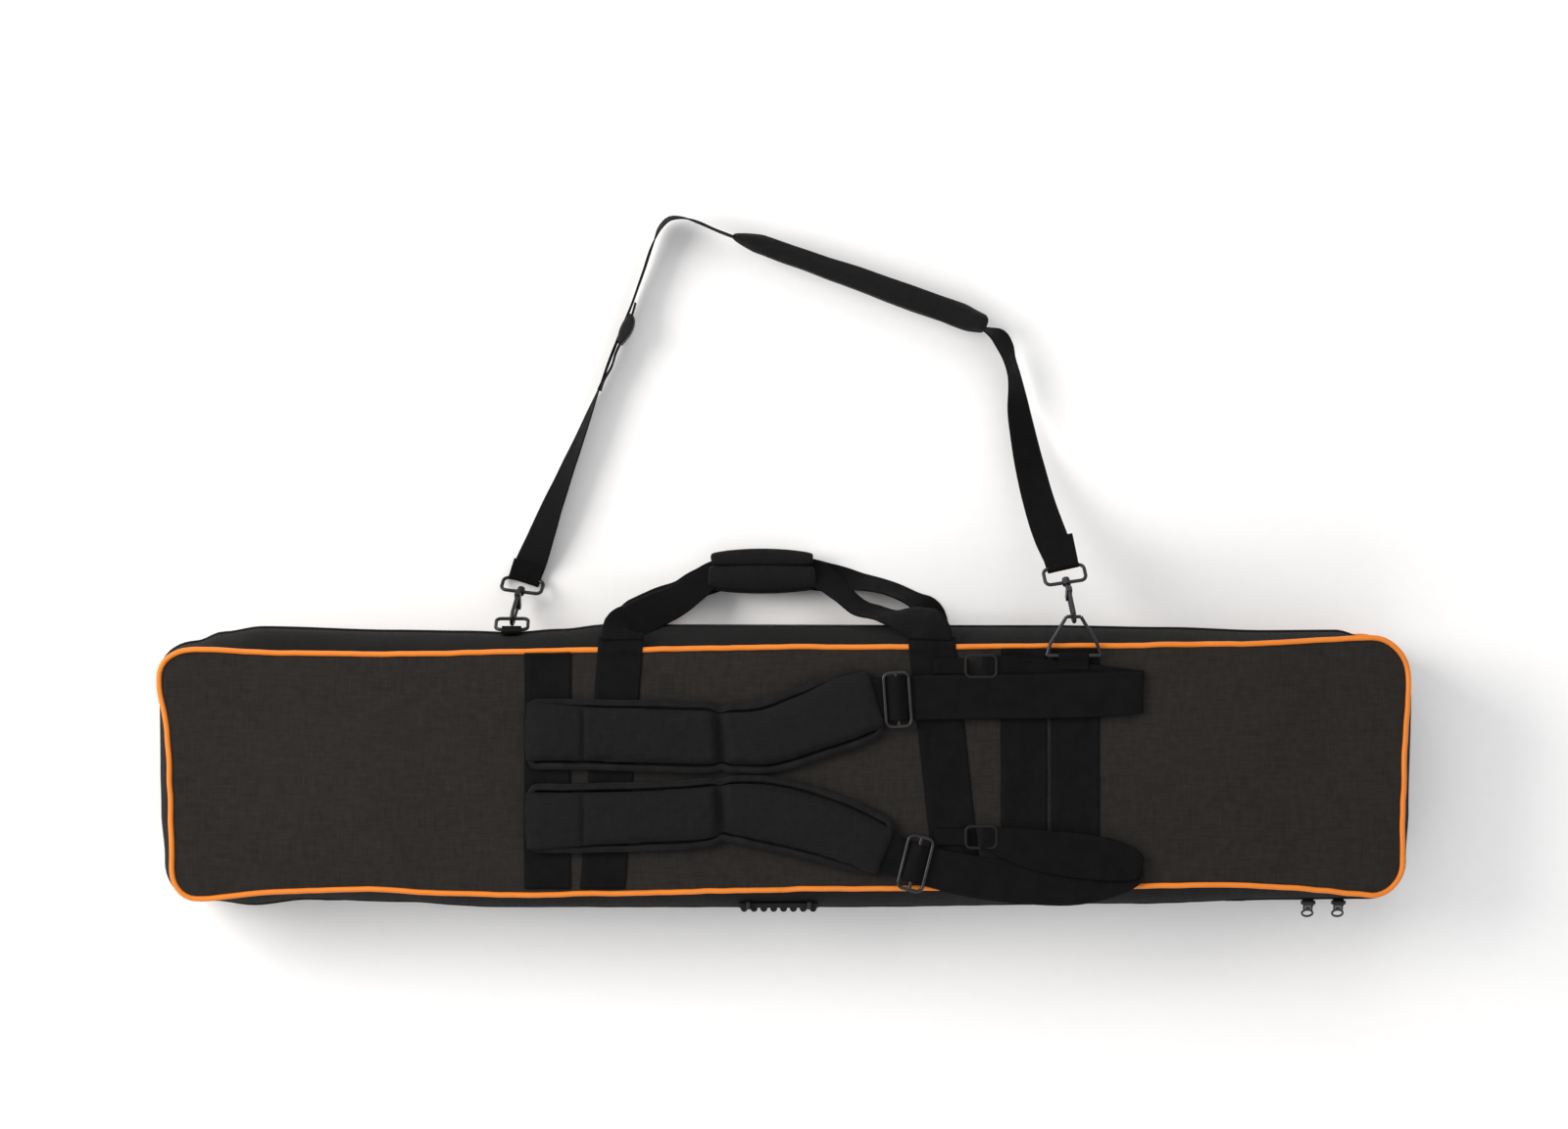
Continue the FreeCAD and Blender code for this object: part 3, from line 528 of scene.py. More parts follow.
def perimeter(half_x, half_y, corner):
    """Stations (x, y, normal x, normal y) round a rounded rectangle, from the middle of -Y."""
    stations = []
    long_run, short_run = half_x - corner, half_y - corner

    def straight(x0, y0, x1, y1, nx, ny, steps):
        for step in range(steps):
            t = step / steps
            stations.append((x0 + (x1 - x0) * t, y0 + (y1 - y0) * t, nx, ny))

    def turn(cx, cy, start):
        for step in range(CORNER_STEPS):
            angle = math.radians(start + 90 * step / CORNER_STEPS)
            nx, ny = math.cos(angle), math.sin(angle)
            stations.append((cx + corner * nx, cy + corner * ny, nx, ny))

    straight(0, -half_y, long_run, -half_y, 0, -1, LONG_STEPS // 2)
    turn(long_run, -short_run, -90)
    straight(half_x, -short_run, half_x, short_run, 1, 0, SHORT_STEPS)
    turn(long_run, short_run, 0)
    straight(long_run, half_y, -long_run, half_y, 0, 1, LONG_STEPS)
    turn(-long_run, short_run, 90)
    straight(-half_x, short_run, -half_x, -short_run, -1, 0, SHORT_STEPS)
    turn(-long_run, -short_run, 180)
    straight(-long_run, -half_y, 0, -half_y, 0, -1, LONG_STEPS // 2)
    return stations


def side_shift(station, shifts):
    x, y, nx, ny = station
    across = between(shifts["right" if nx > 0 else "left"], y) * nx * nx
    upright = between(shifts["top" if ny > 0 else "bottom"], x) * ny * ny
    return across + upright


SEAM = perimeter(*SEAM_HALF)
CREST = perimeter(*CREST_HALF)
COUNT = len(SEAM)
SEAM_OUT = [side_shift(station, SEAM_SHIFT) for station in SEAM]
CREST_OUT = [side_shift(station, CREST_SHIFT) for station in CREST]
RUN = [0.0]
for before, after in zip(SEAM, SEAM[1:]):
    RUN.append(RUN[-1] + math.hypot(after[0] - before[0], after[1] - before[1]))


def seam_point(step, out=0.0, lift=0.0):
    x, y, nx, ny = SEAM[step]
    wobble = 0.0006 * ripple(x, y, 0, 0.05, 3.1) + 0.0005 * ripple(x, y, 0, 0.018, 8.2)
    shift = SEAM_OUT[step] + wobble + out
    return vec(x + nx * shift, y + ny * shift, SEAM_Z + lift)


def crest_point(step, out=0.0, z=MID_Z):
    x, y, nx, ny = CREST[step]
    shift = CREST_OUT[step] + out
    return vec(x + nx * shift, y + ny * shift, z)


def gusset_point(step, t, seed):
    """A point of the side wall: t is 0 under the piping and 1 at the zip tape's edge."""
    swell = math.sin(t * math.pi / 2) ** 0.75
    low = seam_point(step, -0.0015, -0.0015)
    high = crest_point(step, -0.0008)
    x, y, nx, ny = CREST[step]
    z = SEAM_Z - 0.0015 + (MID_Z + TAPE_REACH - SEAM_Z + 0.0015) * t
    slack = math.sin(math.pi * min(t * 1.15, 1.0))
    crease = 0.0016 * ripple(x + y, seed, z * 0.35, 0.045, seed) * slack
    sag = 0.0022 * ripple(x - y, seed, z * 0.2, 0.2, seed + 5) * slack
    pucker = 0.0007 * ripple(x + y, seed, 0, 0.011, seed + 9) * (1 - t) ** 2
    out = crease + sag + pucker
    return vec(low.x + (high.x - low.x) * swell + nx * out, low.y + (high.y - low.y) * swell + ny * out, z)


def panel_height(x, y, edge, seed):
    """The crowned panel: edge is the distance in from its seam."""
    crown = 0.0022 * (1 - math.exp(-edge / 0.03))
    pucker = 0.0006 * ripple(x, y, 0, 0.014, seed + 2) * math.exp(-edge / 0.008)
    slack = 0.0012 * ripple(x, y, 0, 0.085, seed) * (1 - math.exp(-edge / 0.02))
    slack += 0.0003 * ripple(x * 0.8 + y * 0.6, y * 0.5, 0, 0.026, seed + 1) * (1 - math.exp(-edge / 0.01))
    pull = 0.0006 * ripple(x * 0.4, y, 0, 0.035, seed + 4) * math.exp(-edge / 0.045)
    return SEAM_Z + 0.0006 + crown + pucker + slack + pull - 0.0009


def mirrored_half(mesh_data):
    """The same surface in the front half."""
    points, faces, cloth = mesh_data
    flipped = [vec(p[0], p[1], CASE_TOP - p[2]) for p in points]
    return flipped, [tuple(reversed(face)) for face in faces], cloth


def inset_ring(depth, closing=False):
    """The seam's outline moved in by depth; the last one closes on the long middle line."""
    half_x, half_y, corner = SEAM_HALF
    share = 0.0 if closing else max(0.0, 1 - depth / (half_y - 0.001))
    turn = corner * share
    reach_x, reach_y = max(half_x - depth, 0.0), max(half_y - depth, 0.0)
    flat_x, flat_y = half_x - corner, half_y - corner
    ring = []
    for (x, y, nx, ny), out in zip(SEAM, SEAM_OUT):
        base_x = max(-flat_x, min(flat_x, x)) * (reach_x - turn) / flat_x
        base_y = max(-flat_y, min(flat_y, y)) * (reach_y - turn) / flat_y
        shift = out * share
        ring.append((base_x + nx * (turn + shift), base_y + ny * (turn + shift)))
    return ring


PANEL_DEPTHS = [
    0.0005, 0.003, 0.006, 0.010, 0.015, 0.021, 0.028, 0.036, 0.045, 0.055, 0.066, 0.078, 0.091, 0.105,
    0.119, 0.131]


def panel_mesh(seed, depths=PANEL_DEPTHS, height=panel_height):
    rows = []
    for depth in depths:
        rows.append([(vec(x, y, height(x, y, depth, seed)), (x, y)) for x, y in inset_ring(depth)])
    middle = SEAM_HALF[1]
    rows.append([(vec(x, 0.0, height(x, 0.0, middle, seed)), (x, 0.0))
                 for x, _ in inset_ring(middle, closing=True)])
    return skin(rows[::-1])


def weld(piece, distance):
    """Merges coincident points, as where a panel's two long rows meet."""
    work = bmesh.new()
    work.from_mesh(piece.data)
    bmesh.ops.remove_doubles(work, verts=work.verts, dist=distance)
    bmesh.ops.dissolve_degenerate(work, edges=work.edges, dist=distance / 4)
    bmesh.ops.recalc_face_normals(work, faces=work.faces)
    work.to_mesh(piece.data)
    work.free()


def gusset_mesh(seed):
    rows = []
    for row in range(GUSSET_ROWS):
        t = row / (GUSSET_ROWS - 1)
        rows.append([(gusset_point(step, t, seed), (RUN[step], t * GUSSET_WIDTH)) for step in range(COUNT)])
    return skin(rows[::-1])


def in_zip_zone(step):
    return not (CREST[step][3] < -0.99 and abs(CREST[step][0]) < HINGE_HALF)


ZIP_STEPS = [step for step in range(COUNT) if in_zip_zone(step)]
HINGE_STEPS = [step for step in range(-LONG_STEPS // 2, LONG_STEPS // 2 + 1)
               if not in_zip_zone(step) or not in_zip_zone(step - 1) or not in_zip_zone((step + 1) % COUNT)]

# The tape from the gusset's edge to the coil, with its topstitch ridge, as (height, distance out).
TAPE_PROFILE = [(TAPE_REACH + 0.0012, -0.0022), (TAPE_REACH, -0.0004), (TAPE_REACH - 0.0006, 0.0006),
                (TAPE_REACH - 0.0018, 0.0001), (0.003, 0.0), (0.0012, 0.0002)]


def zip_tape_mesh():
    return skin([[(crest_point(step, out - 0.0006, MID_Z + lift), (RUN[step], lift)) for step in ZIP_STEPS]
                 for lift, out in TAPE_PROFILE], closed=False)


def walk(points, pitch):
    """Places and directions at even steps along a run of points."""
    found = []
    left = 0.0
    for a, b in zip(points, points[1:]):
        run = (b - a).length
        along = (b - a) / max(run, 1e-9)
        while left < run:
            found.append((a + along * left, along))
            left += pitch
        left -= run
    return found


COIL_PITCH = 2.6 * MM
COIL_HALF = 0.62 * MM
COIL_LOOP = [(-0.0011, 0.0024), (0.0007, 0.0026), (0.0014, 0.0012), (0.0012, -0.0006), (0.0002, -0.0010),
             (-0.0011, -0.0002)]
COIL_ENDS = [(-1, 0.82), (-0.5, 1.0), (0.5, 1.0), (1, 0.82)]


def coil_mesh(phase):
    """Coil turns of one side of the zip: small loops that interlock with the other side's."""
    path = [crest_point(step, 0.0006) for step in ZIP_STEPS]
    parts = []
    for place, along in walk(path, COIL_PITCH)[:-1]:
        place = place + along * (COIL_PITCH * phase)
        outward = vec(along.y, -along.x, 0)
        loop = [outward * out + vec(0, 0, lift) for out, lift in COIL_LOOP]
        parts.append(skin([[(place + along * (side * COIL_HALF) + point * size, (0.0, 0.0))
                            for point in loop] for side, size in COIL_ENDS], cap=True))
    return join_meshes(*parts)


def hinge_mesh():
    """The folded strip of cloth that joins the two halves where there is no zip."""
    rows = []
    for number in range(HINGE_ROWS):
        lift = TAPE_REACH * (1.25 - 2.5 * number / (HINGE_ROWS - 1))
        bow = 0.0016 * math.cos(math.pi * lift / (2.6 * TAPE_REACH))
        row = []
        for step in HINGE_STEPS:
            crease = 0.0005 * ripple(CREST[step][0], lift, 0, 0.03, 6.0)
            row.append((crest_point(step, bow + crease - 0.0004, MID_Z + lift),
                        (RUN[step] if step >= 0 else -RUN[-step], lift)))
        rows.append(row)
    return skin(rows, closed=False)


def piping_mesh(seed):
    path = [seam_point(step) + vec(0, 0, 0.0003 * ripple(SEAM[step][0], SEAM[step][1], 0, 0.025, seed))
            for step in range(COUNT)]
    return tube_mesh(path, PIPING_RADIUS)


def lining_height(x, y, edge, seed):
    """A quilted lining over the foam board: dimples on a diamond of stitch lines."""
    across = math.sin(math.pi * (x + y) / 0.06)
    other = math.sin(math.pi * (x - y) / 0.06)
    quilt = 0.0022 * math.sqrt(abs(across * other))
    return MID_Z + 0.0565 - quilt * (1 - math.exp(-edge / 0.006))


def cloth_shell(name, mesh_data, material, body, nodes, thickness, distance=FINE_WELD, offset=-1):
    """A sewn skin of cloth with a thickness."""
    piece = finish_piece(name, mesh_data, material, body, nodes)
    weld(piece, distance)
    add_modifier(piece, "SOLIDIFY", thickness=thickness, offset=offset)
    return piece


def build_case():
    for half, seed, phase in (("back", 1.0, 0.0), ("front", 14.0, 0.5)):
        flip = (lambda data: data) if half == "back" else mirrored_half
        body = f"{half}_half"
        cloth_shell(f"{half}_panel_skin", flip(panel_mesh(seed)), PANEL_CLOTH, body,
                    [f"{half}_panel"], 0.0014, PANEL_WELD)
        gusset = cloth_shell(f"{half}_gusset_skin", flip(gusset_mesh(seed)), GUSSET_CLOTH, body,
                             [f"{half}_gusset", f"{half}_hinge_gusset"], 0.0022)
        finish_piece(f"{half}_piping_cord", flip(piping_mesh(seed)), PIPING_CLOTH, body,
                     [f"{half}_piping"])
        cloth_shell(f"{half}_zip_tape_strip", flip(zip_tape_mesh()), TAPE_CLOTH, body,
                    [f"{half}_zip_tape"], 0.0008)
        finish_piece(f"{half}_zip_coil_turns", flip(coil_mesh(phase)), COIL, body,
                     [f"{half}_zip_coil"])
        lining = cloth_shell(f"{half}_lining_skin",
                             flip(panel_mesh(seed, [0.005] + PANEL_DEPTHS[2:], lining_height)), LINING_CLOTH,
                             body, [f"{half}_lining", f"{half}_foam"], 0.0012, PANEL_WELD, 0)
    hinge = cloth_shell("hinge_cloth", hinge_mesh(), GUSSET_CLOTH, None, ["hinge_strip"],
                        0.0012)
    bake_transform(hinge)


build_case()


# ---- bands sewn across the panels

BACK_SEED = 1.0
BAND_THICKNESS = 1.5 * MM


def back_surface(x, y):
    """Height of the back panel's cloth, and of the piping where a band runs out over it."""
    edge = max(0.0005, min(SEAM_HALF[0] - abs(x), SEAM_HALF[1] - abs(y)))
    cloth_z = panel_height(x, y, edge, BACK_SEED)
    cord_y = SEAM_HALF[1] + between(SEAM_SHIFT["top"], x)
    rise = PIPING_RADIUS ** 2 - (y - cord_y) ** 2
    return max(cloth_z, SEAM_Z + math.sqrt(rise)) if rise > 0 else cloth_z


def band_mesh(low_x, high_x, lean, start, end, seed):
    """Webbing laid on the panel along Y; lean shifts its far end along X."""
    count = round((end - start) / (4 * MM))
    width = high_x - low_x
    rows = []
    for number in range(count + 1):
        y = start + (end - start) * number / count
        centre = (low_x + high_x) / 2 + lean * (y + 0.137) / 0.274 + 0.0007 * ripple(y, seed, 0, 0.05, seed)
        row = []
        for across, lift in STRAP_SECTION:
            x = centre + across * width / 2
            wave = 0.0005 * ripple(x, y, 0, 0.02, seed)
            height = max(back_surface(x, y + near) for near in (0.0, -0.002, 0.002))
            row.append((vec(x, y, height + 0.0002 + wave + BAND_THICKNESS * (0.5 + lift / 2)),
                        (y, across * width / 2)))
        rows.append(row)
    return skin(rows, cap=True)


def front_mesh(mesh_data):
    """The same band under the front panel, pressed against the floor."""
    points, faces, cloth = mirrored_half(mesh_data)
    return [vec(p.x, p.y, max(p.z - 0.0002, 0.0)) for p in points], faces, cloth


def build_bands():
    for name, low, high, start, end in (("left", -0.289, -0.237, -0.133, 0.1295),
                                        ("centre", 0.241, 0.2925, -0.1285, 0.1345),
                                        ("right", 0.2965, 0.351, -0.1285, 0.1345)):
        finish_piece(f"back_band_{name}_webbing", band_mesh(low, high, 0, start, end, low * 40), WEBBING_50,
                     "back_half", [f"back_band_{name}"])
    legs = join_meshes(band_mesh(-0.227, -0.177, 0.020, -0.133, 0.1476, 2.0),
                       band_mesh(0.168, 0.2205, -0.029, -0.1305, 0.1476, 5.0))
    for half, mesh_data in (("back", legs), ("front", front_mesh(legs))):
        finish_piece(f"{half}_handle_band_webbing", mesh_data, WEBBING_50, f"{half}_half",
                     [f"{half}_handle_bands"])


build_bands()


# ---- stuffed pieces

def planar_cloth(piece, heading=0.0):
    """Cloth coordinates in metres laid flat on each face's own main direction."""
    layer = piece.data.uv_layers.get("cloth") or piece.data.uv_layers.new(name="cloth")
    turn = Matrix.Rotation(-heading, 3, "Z")
    for face in piece.data.polygons:
        normal = turn @ face.normal
        for loop in face.loop_indices:
            point = turn @ piece.data.vertices[piece.data.loops[loop].vertex_index].co
            if abs(normal.z) > 0.6:
                layer.data[loop].uv = (point.x, point.y)
            elif abs(normal.y) > abs(normal.x):
                layer.data[loop].uv = (point.x, point.z)
            else:
                layer.data[loop].uv = (point.z, point.y)


def bake(piece):
    """Applies the piece's modifiers to its mesh."""
    graph = bpy.context.evaluated_depsgraph_get()
    shaped = bpy.data.meshes.new_from_object(piece.evaluated_get(graph), depsgraph=graph)
    old = piece.data
    piece.modifiers.clear()
    piece.data = shaped
    bpy.data.meshes.remove(old)


CLOTH_STEPS = 20
CLOTH_SETTINGS = {"quality": 4, "mass": 0.3, "tension_stiffness": 25, "compression_stiffness": 25,
                  "shear_stiffness": 8, "bending_stiffness": 0.8, "use_pressure": True}


def stuff(piece, voxel, pressure, cap, floor_z=None, heading=0.0):
    """Fills a closed piece like a cushion: remeshed, swollen by cloth pressure, capped and smoothed."""
    materials = [slot.material for slot in piece.material_slots]
    add_modifier(piece, "REMESH", mode="VOXEL", voxel_size=voxel, use_smooth_shade=True)
    bake(piece)
    start = [v.co.copy() for v in piece.data.vertices]
    cloth = add_modifier(piece, "CLOTH")
    for key, value in CLOTH_SETTINGS.items():
        setattr(cloth.settings, key, value)
    cloth.settings.uniform_pressure_force = pressure
    cloth.settings.effector_weights.gravity = 0
    cloth.collision_settings.use_collision = False
    cloth.point_cache.frame_start = 1
    cloth.point_cache.frame_end = CLOTH_STEPS
    for step in range(1, CLOTH_STEPS + 1):
        bpy.context.scene.frame_set(step)
    bake(piece)
    bpy.context.scene.frame_set(1)
    for vertex, place in zip(piece.data.vertices, start):
        moved = vertex.co - place
        if moved.length > cap:
            moved *= cap / moved.length
        vertex.co = place + moved
    add_modifier(piece, "SUBSURF", levels=1, render_levels=1)
    bake(piece)
    if floor_z is not None:
        for vertex in piece.data.vertices:
            vertex.co.z = max(vertex.co.z, floor_z)
    piece.data.materials.clear()
    for material in materials:
        piece.data.materials.append(material)
    piece.data.shade_smooth()
    planar_cloth(piece, heading)


def sew_channel(piece, place, direction, depth, width, middle_z, pinch=0.0):
    """Draws a stuffed piece in along a stitched line through place, square to direction."""
    for vertex in piece.data.vertices:
        away = (vertex.co - place).dot(direction)
        pull = math.exp(-(away / width) ** 2)
        vertex.co.z = middle_z + (vertex.co.z - middle_z) * (1 - depth * pull)
        if pinch:
            side = vec(-direction.y, direction.x, 0)
            vertex.co -= side * (vertex.co - place).dot(side) * pinch * pull


# ---- backpack pads

PAD_SECTION = [
    (-0.86, -0.7), (-0.55, -0.8), (0, -0.8), (0.55, -0.8), (0.86, -0.7), (0.97, -0.3), (0.95, 0.3),
    (0.86, 0.7), (0.55, 0.85), (0, 0.9), (-0.55, 0.85), (-0.86, 0.7), (-0.95, 0.3), (-0.97, -0.3)]
PAD_Z = 146.4 * MM
PAD_REST = 140.5 * MM
FOLD_X = -68
UPPER_PAD_LINE = [
    (-289, 39.5, 78), (-223, 39, 78), (-150, 37.5, 79), (-82, 35.5, 78), (-68, 35, 76), (-20, 36.5, 80),
    (30, 52.5, 83), (75, 68, 84), (106, 77, 76)]
LOWER_PAD_LINE = [
    (-289, -54, 76), (-223, -54, 76), (-150, -52, 76), (-82, -47, 76), (-68, -44, 74), (-20, -48, 81),
    (35, -61, 80), (80, -76, 74), (116, -90, 64)]


def in_metres(line, height):
    return [(x * MM, y * MM, height, width * MM, 0.0) for x, y, width in line]


def ribbon_edge(line, height, inset):
    """A closed path round the edge of a flat ribbon, inset from it."""
    stations = curve_through(in_metres(line, height))
    last = len(stations) - 1
    left, right = [], []
    for step, (x, y, z, width, _) in enumerate(stations):
        ahead, behind = stations[min(step + 1, last)], stations[max(step - 1, 0)]
        along = vec(ahead[0] - behind[0], ahead[1] - behind[1], 0).normalized()
        side = vec(-along.y, along.x, 0)
        end = inset if step == 0 else (-inset if step == last else 0.0)
        place = vec(x, y, z) + along * end
        reach = width / 2 - inset
        left.append(place + side * reach)
        right.append(place - side * reach)
    return left + right[::-1]


def round_corners(path):
    for _ in range(3):
        path = [(path[i - 1] + path[i] * 2 + path[(i + 1) % len(path)]) / 4 for i in range(len(path))]
    return path


def build_pad(side, line, seed):
    body = f"{side}_strap"
    route = in_metres([(x, y, width - 5) for x, y, width in line], PAD_Z)
    pad = finish_piece(f"{side}_pad_cushion", strap_mesh(route, 10.5 * MM, section=PAD_SECTION), PAD_CLOTH,
                       body, [f"{side}_pad"])
    stuff(pad, 4.5 * MM, pressure=3.5, cap=4 * MM, floor_z=PAD_REST)
    fold_y = next(y for x, y, _ in line if x == FOLD_X) * MM
    fold = vec(-0.070, fold_y, 0)
    sew_channel(pad, fold, vec(1, 0.06, 0).normalized(), 0.86, 6.5 * MM, 141.6 * MM, 0.07)
    sew_channel(pad, vec(-0.223, fold_y, 0), vec(1, 0, 0), 0.30, 2.6 * MM, 142.5 * MM)
    for vertex in pad.data.vertices:
        x, y, z = vertex.co
        slack = 0.0011 * ripple(x * 0.5, y, 0, 0.03, seed) + 0.0005 * ripple(x, y, 0, 0.012, seed + 3)
        vertex.co.z = max(z + slack * (z - PAD_REST) / 0.008, PAD_REST)
    planar_cloth(pad)
    path = []
    for point in round_corners(ribbon_edge(line, 143.6 * MM, 3.5 * MM)):
        x, y = point.x, point.y
        point = point + vec(0, 0.0009 * ripple(x, y, 0, 0.03, seed), 0.0012 * ripple(x, y, 0, 0.022, seed))
        pull = math.exp(-((point.x - fold.x) / 0.006) ** 2)
        path.append(point + vec(0, (fold_y - point.y) * 0.10 * pull, -0.0016 * pull))
    finish_piece(f"{side}_pad_binding", tube_mesh(path, 4.2 * MM, 10, 0.62), BINDING_CLOTH, body)


build_pad("upper", UPPER_PAD_LINE, 4.0)
build_pad("lower", LOWER_PAD_LINE, 9.0)


# ---- webbing of the backpack straps

def mm_route(*stations):
    """Stations given in millimetres as (x, y, z, width[, roll])."""
    return [(s[0] * MM, s[1] * MM, s[2] * MM, s[3] * MM, s[4] if len(s) > 4 else 0.0) for s in stations]


UPPER_RUN = mm_route(
    (97, 75, 146.2, 52), (108, 77.5, 144.9, 50), (114, 78, 145.0, 50), (120, 78.5, 148.6, 50),
    (126, 79, 151.5, 50), (132, 79.5, 148.6, 50), (138, 80, 145.0, 50), (146, 80, 144.9, 50),
    (170, 80.5, 145.0, 50), (230, 81, 144.8, 50), (300, 82, 144.6, 50), (360, 84, 144.4, 50),
    (392, 86, 144.1, 48), (398.5, 86.3, 142.7, 47), (399, 86.3, 142.0, 47))
UPPER_RETURN = mm_route(
    (399, 86.5, 141.9, 47), (393, 87, 141.0, 47), (360, 92, 141.0, 46), (300, 101, 141.1, 42),
    (262, 108, 141.4, 36), (240, 113, 142.6, 28), (229, 114.5, 144.2, 25), (220, 115, 144.8, 24))
LOWER_RUN = mm_route(
    (110, -89.5, 146.2, 48), (124, -96, 144.9, 44), (132, -98.5, 145.0, 42), (139, -101, 148.4, 42),
    (146, -104, 151.5, 42), (153, -106, 148.4, 42), (160, -108, 145.0, 43), (170, -110.5, 144.8, 44),
    (190, -115, 144.4, 46), (225, -121, 143.6, 47), (275, -126, 143.2, 48), (325, -127, 143.0, 47),
    (362, -120, 142.8, 44), (384, -113.5, 143.0, 38), (394, -110.5, 144.0, 29), (398, -109.5, 145.6, 21))
LOWER_RETURN = mm_route(
    (398, -109, 145.8, 21), (394, -108, 147.2, 29), (374, -102.5, 147.6, 43), (330, -96, 147.2, 50),
    (285, -90, 146.6, 46), (252, -83, 146.0, 38), (236, -79, 145.6, 30), (226, -77, 145.6, 25),
    (219, -76, 145.8, 24))


def build_backpack_webbing():
    for side, run, way_back in (("upper", UPPER_RUN, UPPER_RETURN), ("lower", LOWER_RUN, LOWER_RETURN)):
        piece = finish_piece(f"{side}_strap_webbing",
                             strap_mesh(run, 1.7 * MM, ripples=0.7 * MM, seed=len(run)), WEBBING_50, None,
                             [f"{side}_webbing_run"])
        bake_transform(piece)
        finish_piece(f"{side}_return_webbing", strap_mesh(way_back, 1.7 * MM, ripples=0.6 * MM, seed=7.0),
                     WEBBING_PLAIN, "back_half", [f"{side}_webbing_return"])
        low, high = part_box(f"{side}_anchor_tab")
        tab = [(x, (low.y + high.y) / 2, low.z + lift, 0.018, 0.0)
               for x, lift in ((low.x, 0.0009), (high.x - 0.004, 0.0012), (high.x + 0.004, 0.0032),
                               (high.x + 0.006, 0.0048))]
        finish_piece(f"{side}_anchor_loop", strap_mesh(tab, 1.6 * MM), WEBBING_PLAIN, "back_half",
                     [f"{side}_anchor_tab"])


build_backpack_webbing()


# ---- carry handles

BACK_LOOP = mm_route(
    (-180, 144.5, 138.0, 46), (-180, 149.5, 137.0, 46), (-179, 157, 128, 46, 0), (-167, 164.5, 108, 43, 8),
    (-149, 174.5, 84, 42, 16), (-121, 188, 52, 40, 26), (-97, 204, 30, 35, 32), (-84, 212, 23, 31, 30),
    (-25, 218, 22, 30, 20), (34, 218, 22, 32, 20), (47, 210, 26, 34, 34), (65, 195, 42, 38, 54),
    (88, 178.5, 62, 42, 60), (116, 171, 84, 44, 70), (142, 167, 105, 46, 44), (158.5, 158, 127, 47, 6),
    (162.5, 149.5, 137.0, 49), (162.5, 144.5, 138.0, 49))
FRONT_LOOP = mm_route(
    (-182, 145, 2.4, 46), (-182, 153, 2.0, 46), (-177, 164, 6, 38, 26), (-168, 176, 14, 38, 44),
    (-147, 188.5, 16.5, 37, 52), (-116, 200, 16, 36, 52), (-93, 208, 6, 36, 22), (-70, 217, 1.6, 36),
    (-20, 219, 1.5, 36), (22, 218, 1.6, 36), (46, 214, 6, 36, 22), (80, 209.5, 16, 38, 54),
    (126, 198.5, 19.5, 42, 67), (156, 181, 18, 44, 56), (164, 164, 7, 45, 20), (161, 153, 2.0, 46),
    (160, 145, 2.4, 46))


def grip_route(ends, lift):
    """Stations along the grip, the same at both ends: ends is (distance in, y, width) from the end in."""
    low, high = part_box("handle_grip")
    middle = (low + high) / 2
    return ([(low.x + inset, middle.y + y, middle.z + lift, width, 0.0) for inset, y, width in ends]
            + [(high.x - inset, middle.y + y, middle.z + lift, width, 0.0) for inset, y, width in ends[::-1]])


def build_handles():
    loop = finish_piece("back_handle_webbing", strap_mesh(BACK_LOOP, 2.4 * MM, 4 * MM, 1.0 * MM, 2.0),
                        WEBBING_44, None, ["back_handle_loop"])
    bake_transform(loop)
    loop = finish_piece("front_handle_webbing", strap_mesh(FRONT_LOOP, 2.2 * MM, 4 * MM, 0.8 * MM, 6.0),
                        WEBBING_44, None, ["front_handle_loop"])
    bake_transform(loop)
    for name, ends, lift, thickness, cap, nodes in (
            ("handle_grip_wrap", [(-0.001, -0.0075, 0.027), (0.006, -0.008, 0.030)], 0.0, 26 * MM, 4 * MM,
             ["handle_grip"]),
            ("handle_grip_flap", [(0.002, 0.0128, 0.013), (0.010, 0.0138, 0.016)], 0.003, 20 * MM, 3 * MM,
             ())):
        piece = finish_piece(name, strap_mesh(grip_route(ends, lift), thickness, section=PAD_SECTION),
                             PAD_CLOTH, "back_handle", nodes)
        stuff(piece, 4 * MM, pressure=4.0, cap=cap)


build_handles()


# ---- rings, hooks and their webbing

def dress(material, *nodes):
    """Gives CAD pieces that keep their own shape their finish."""
    for node in nodes:
        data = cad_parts[node].data
        data.materials.clear()
        data.materials.append(material)


dress(METAL, "left_strap_ring", "right_strap_ring", "left_hook", "right_hook", "left_hook_gate",
      "right_hook_gate", "left_strap_eye", "right_strap_eye", "upper_adjuster", "lower_adjuster",
      "side_grip_rivets", "zip_pull_left", "zip_pull_right")
dress(PLASTIC, "upper_anchor_ring", "lower_anchor_ring")
dress(RUBBER, "side_grip")

LEFT_RING_BAR = vec(-0.306, 0.155, 0.073)
RIGHT_RING_BAR = vec(0.322, 0.127, 0.144)


def turned(bar, start, end, radius):
    """Points round a bar that lies along X, from one angle to the other, in degrees in the YZ plane."""
    steps = max(3, round(abs(end - start) / 30))
    points = []
    for step in range(steps + 1):
        angle = math.radians(start + (end - start) * step / steps)
        points.append(bar + vec(0, math.cos(angle) * radius, math.sin(angle) * radius))
    return points


def ring_loop(side, bar, way_in, turn, way_out, width):
    """A tab's webbing: in along (y, z) places, round the ring's bar, and out again."""
    path = [vec(bar.x, y, z) for y, z in way_in]
    path += turned(bar, *turn)
    path += [vec(bar.x, y, z) for y, z in way_out]
    finish_piece(f"{side}_ring_loop", wrap_mesh(path, (1, 0, 0), width), WEBBING_PLAIN, "back_half",
                 [f"{side}_ring_tab"])


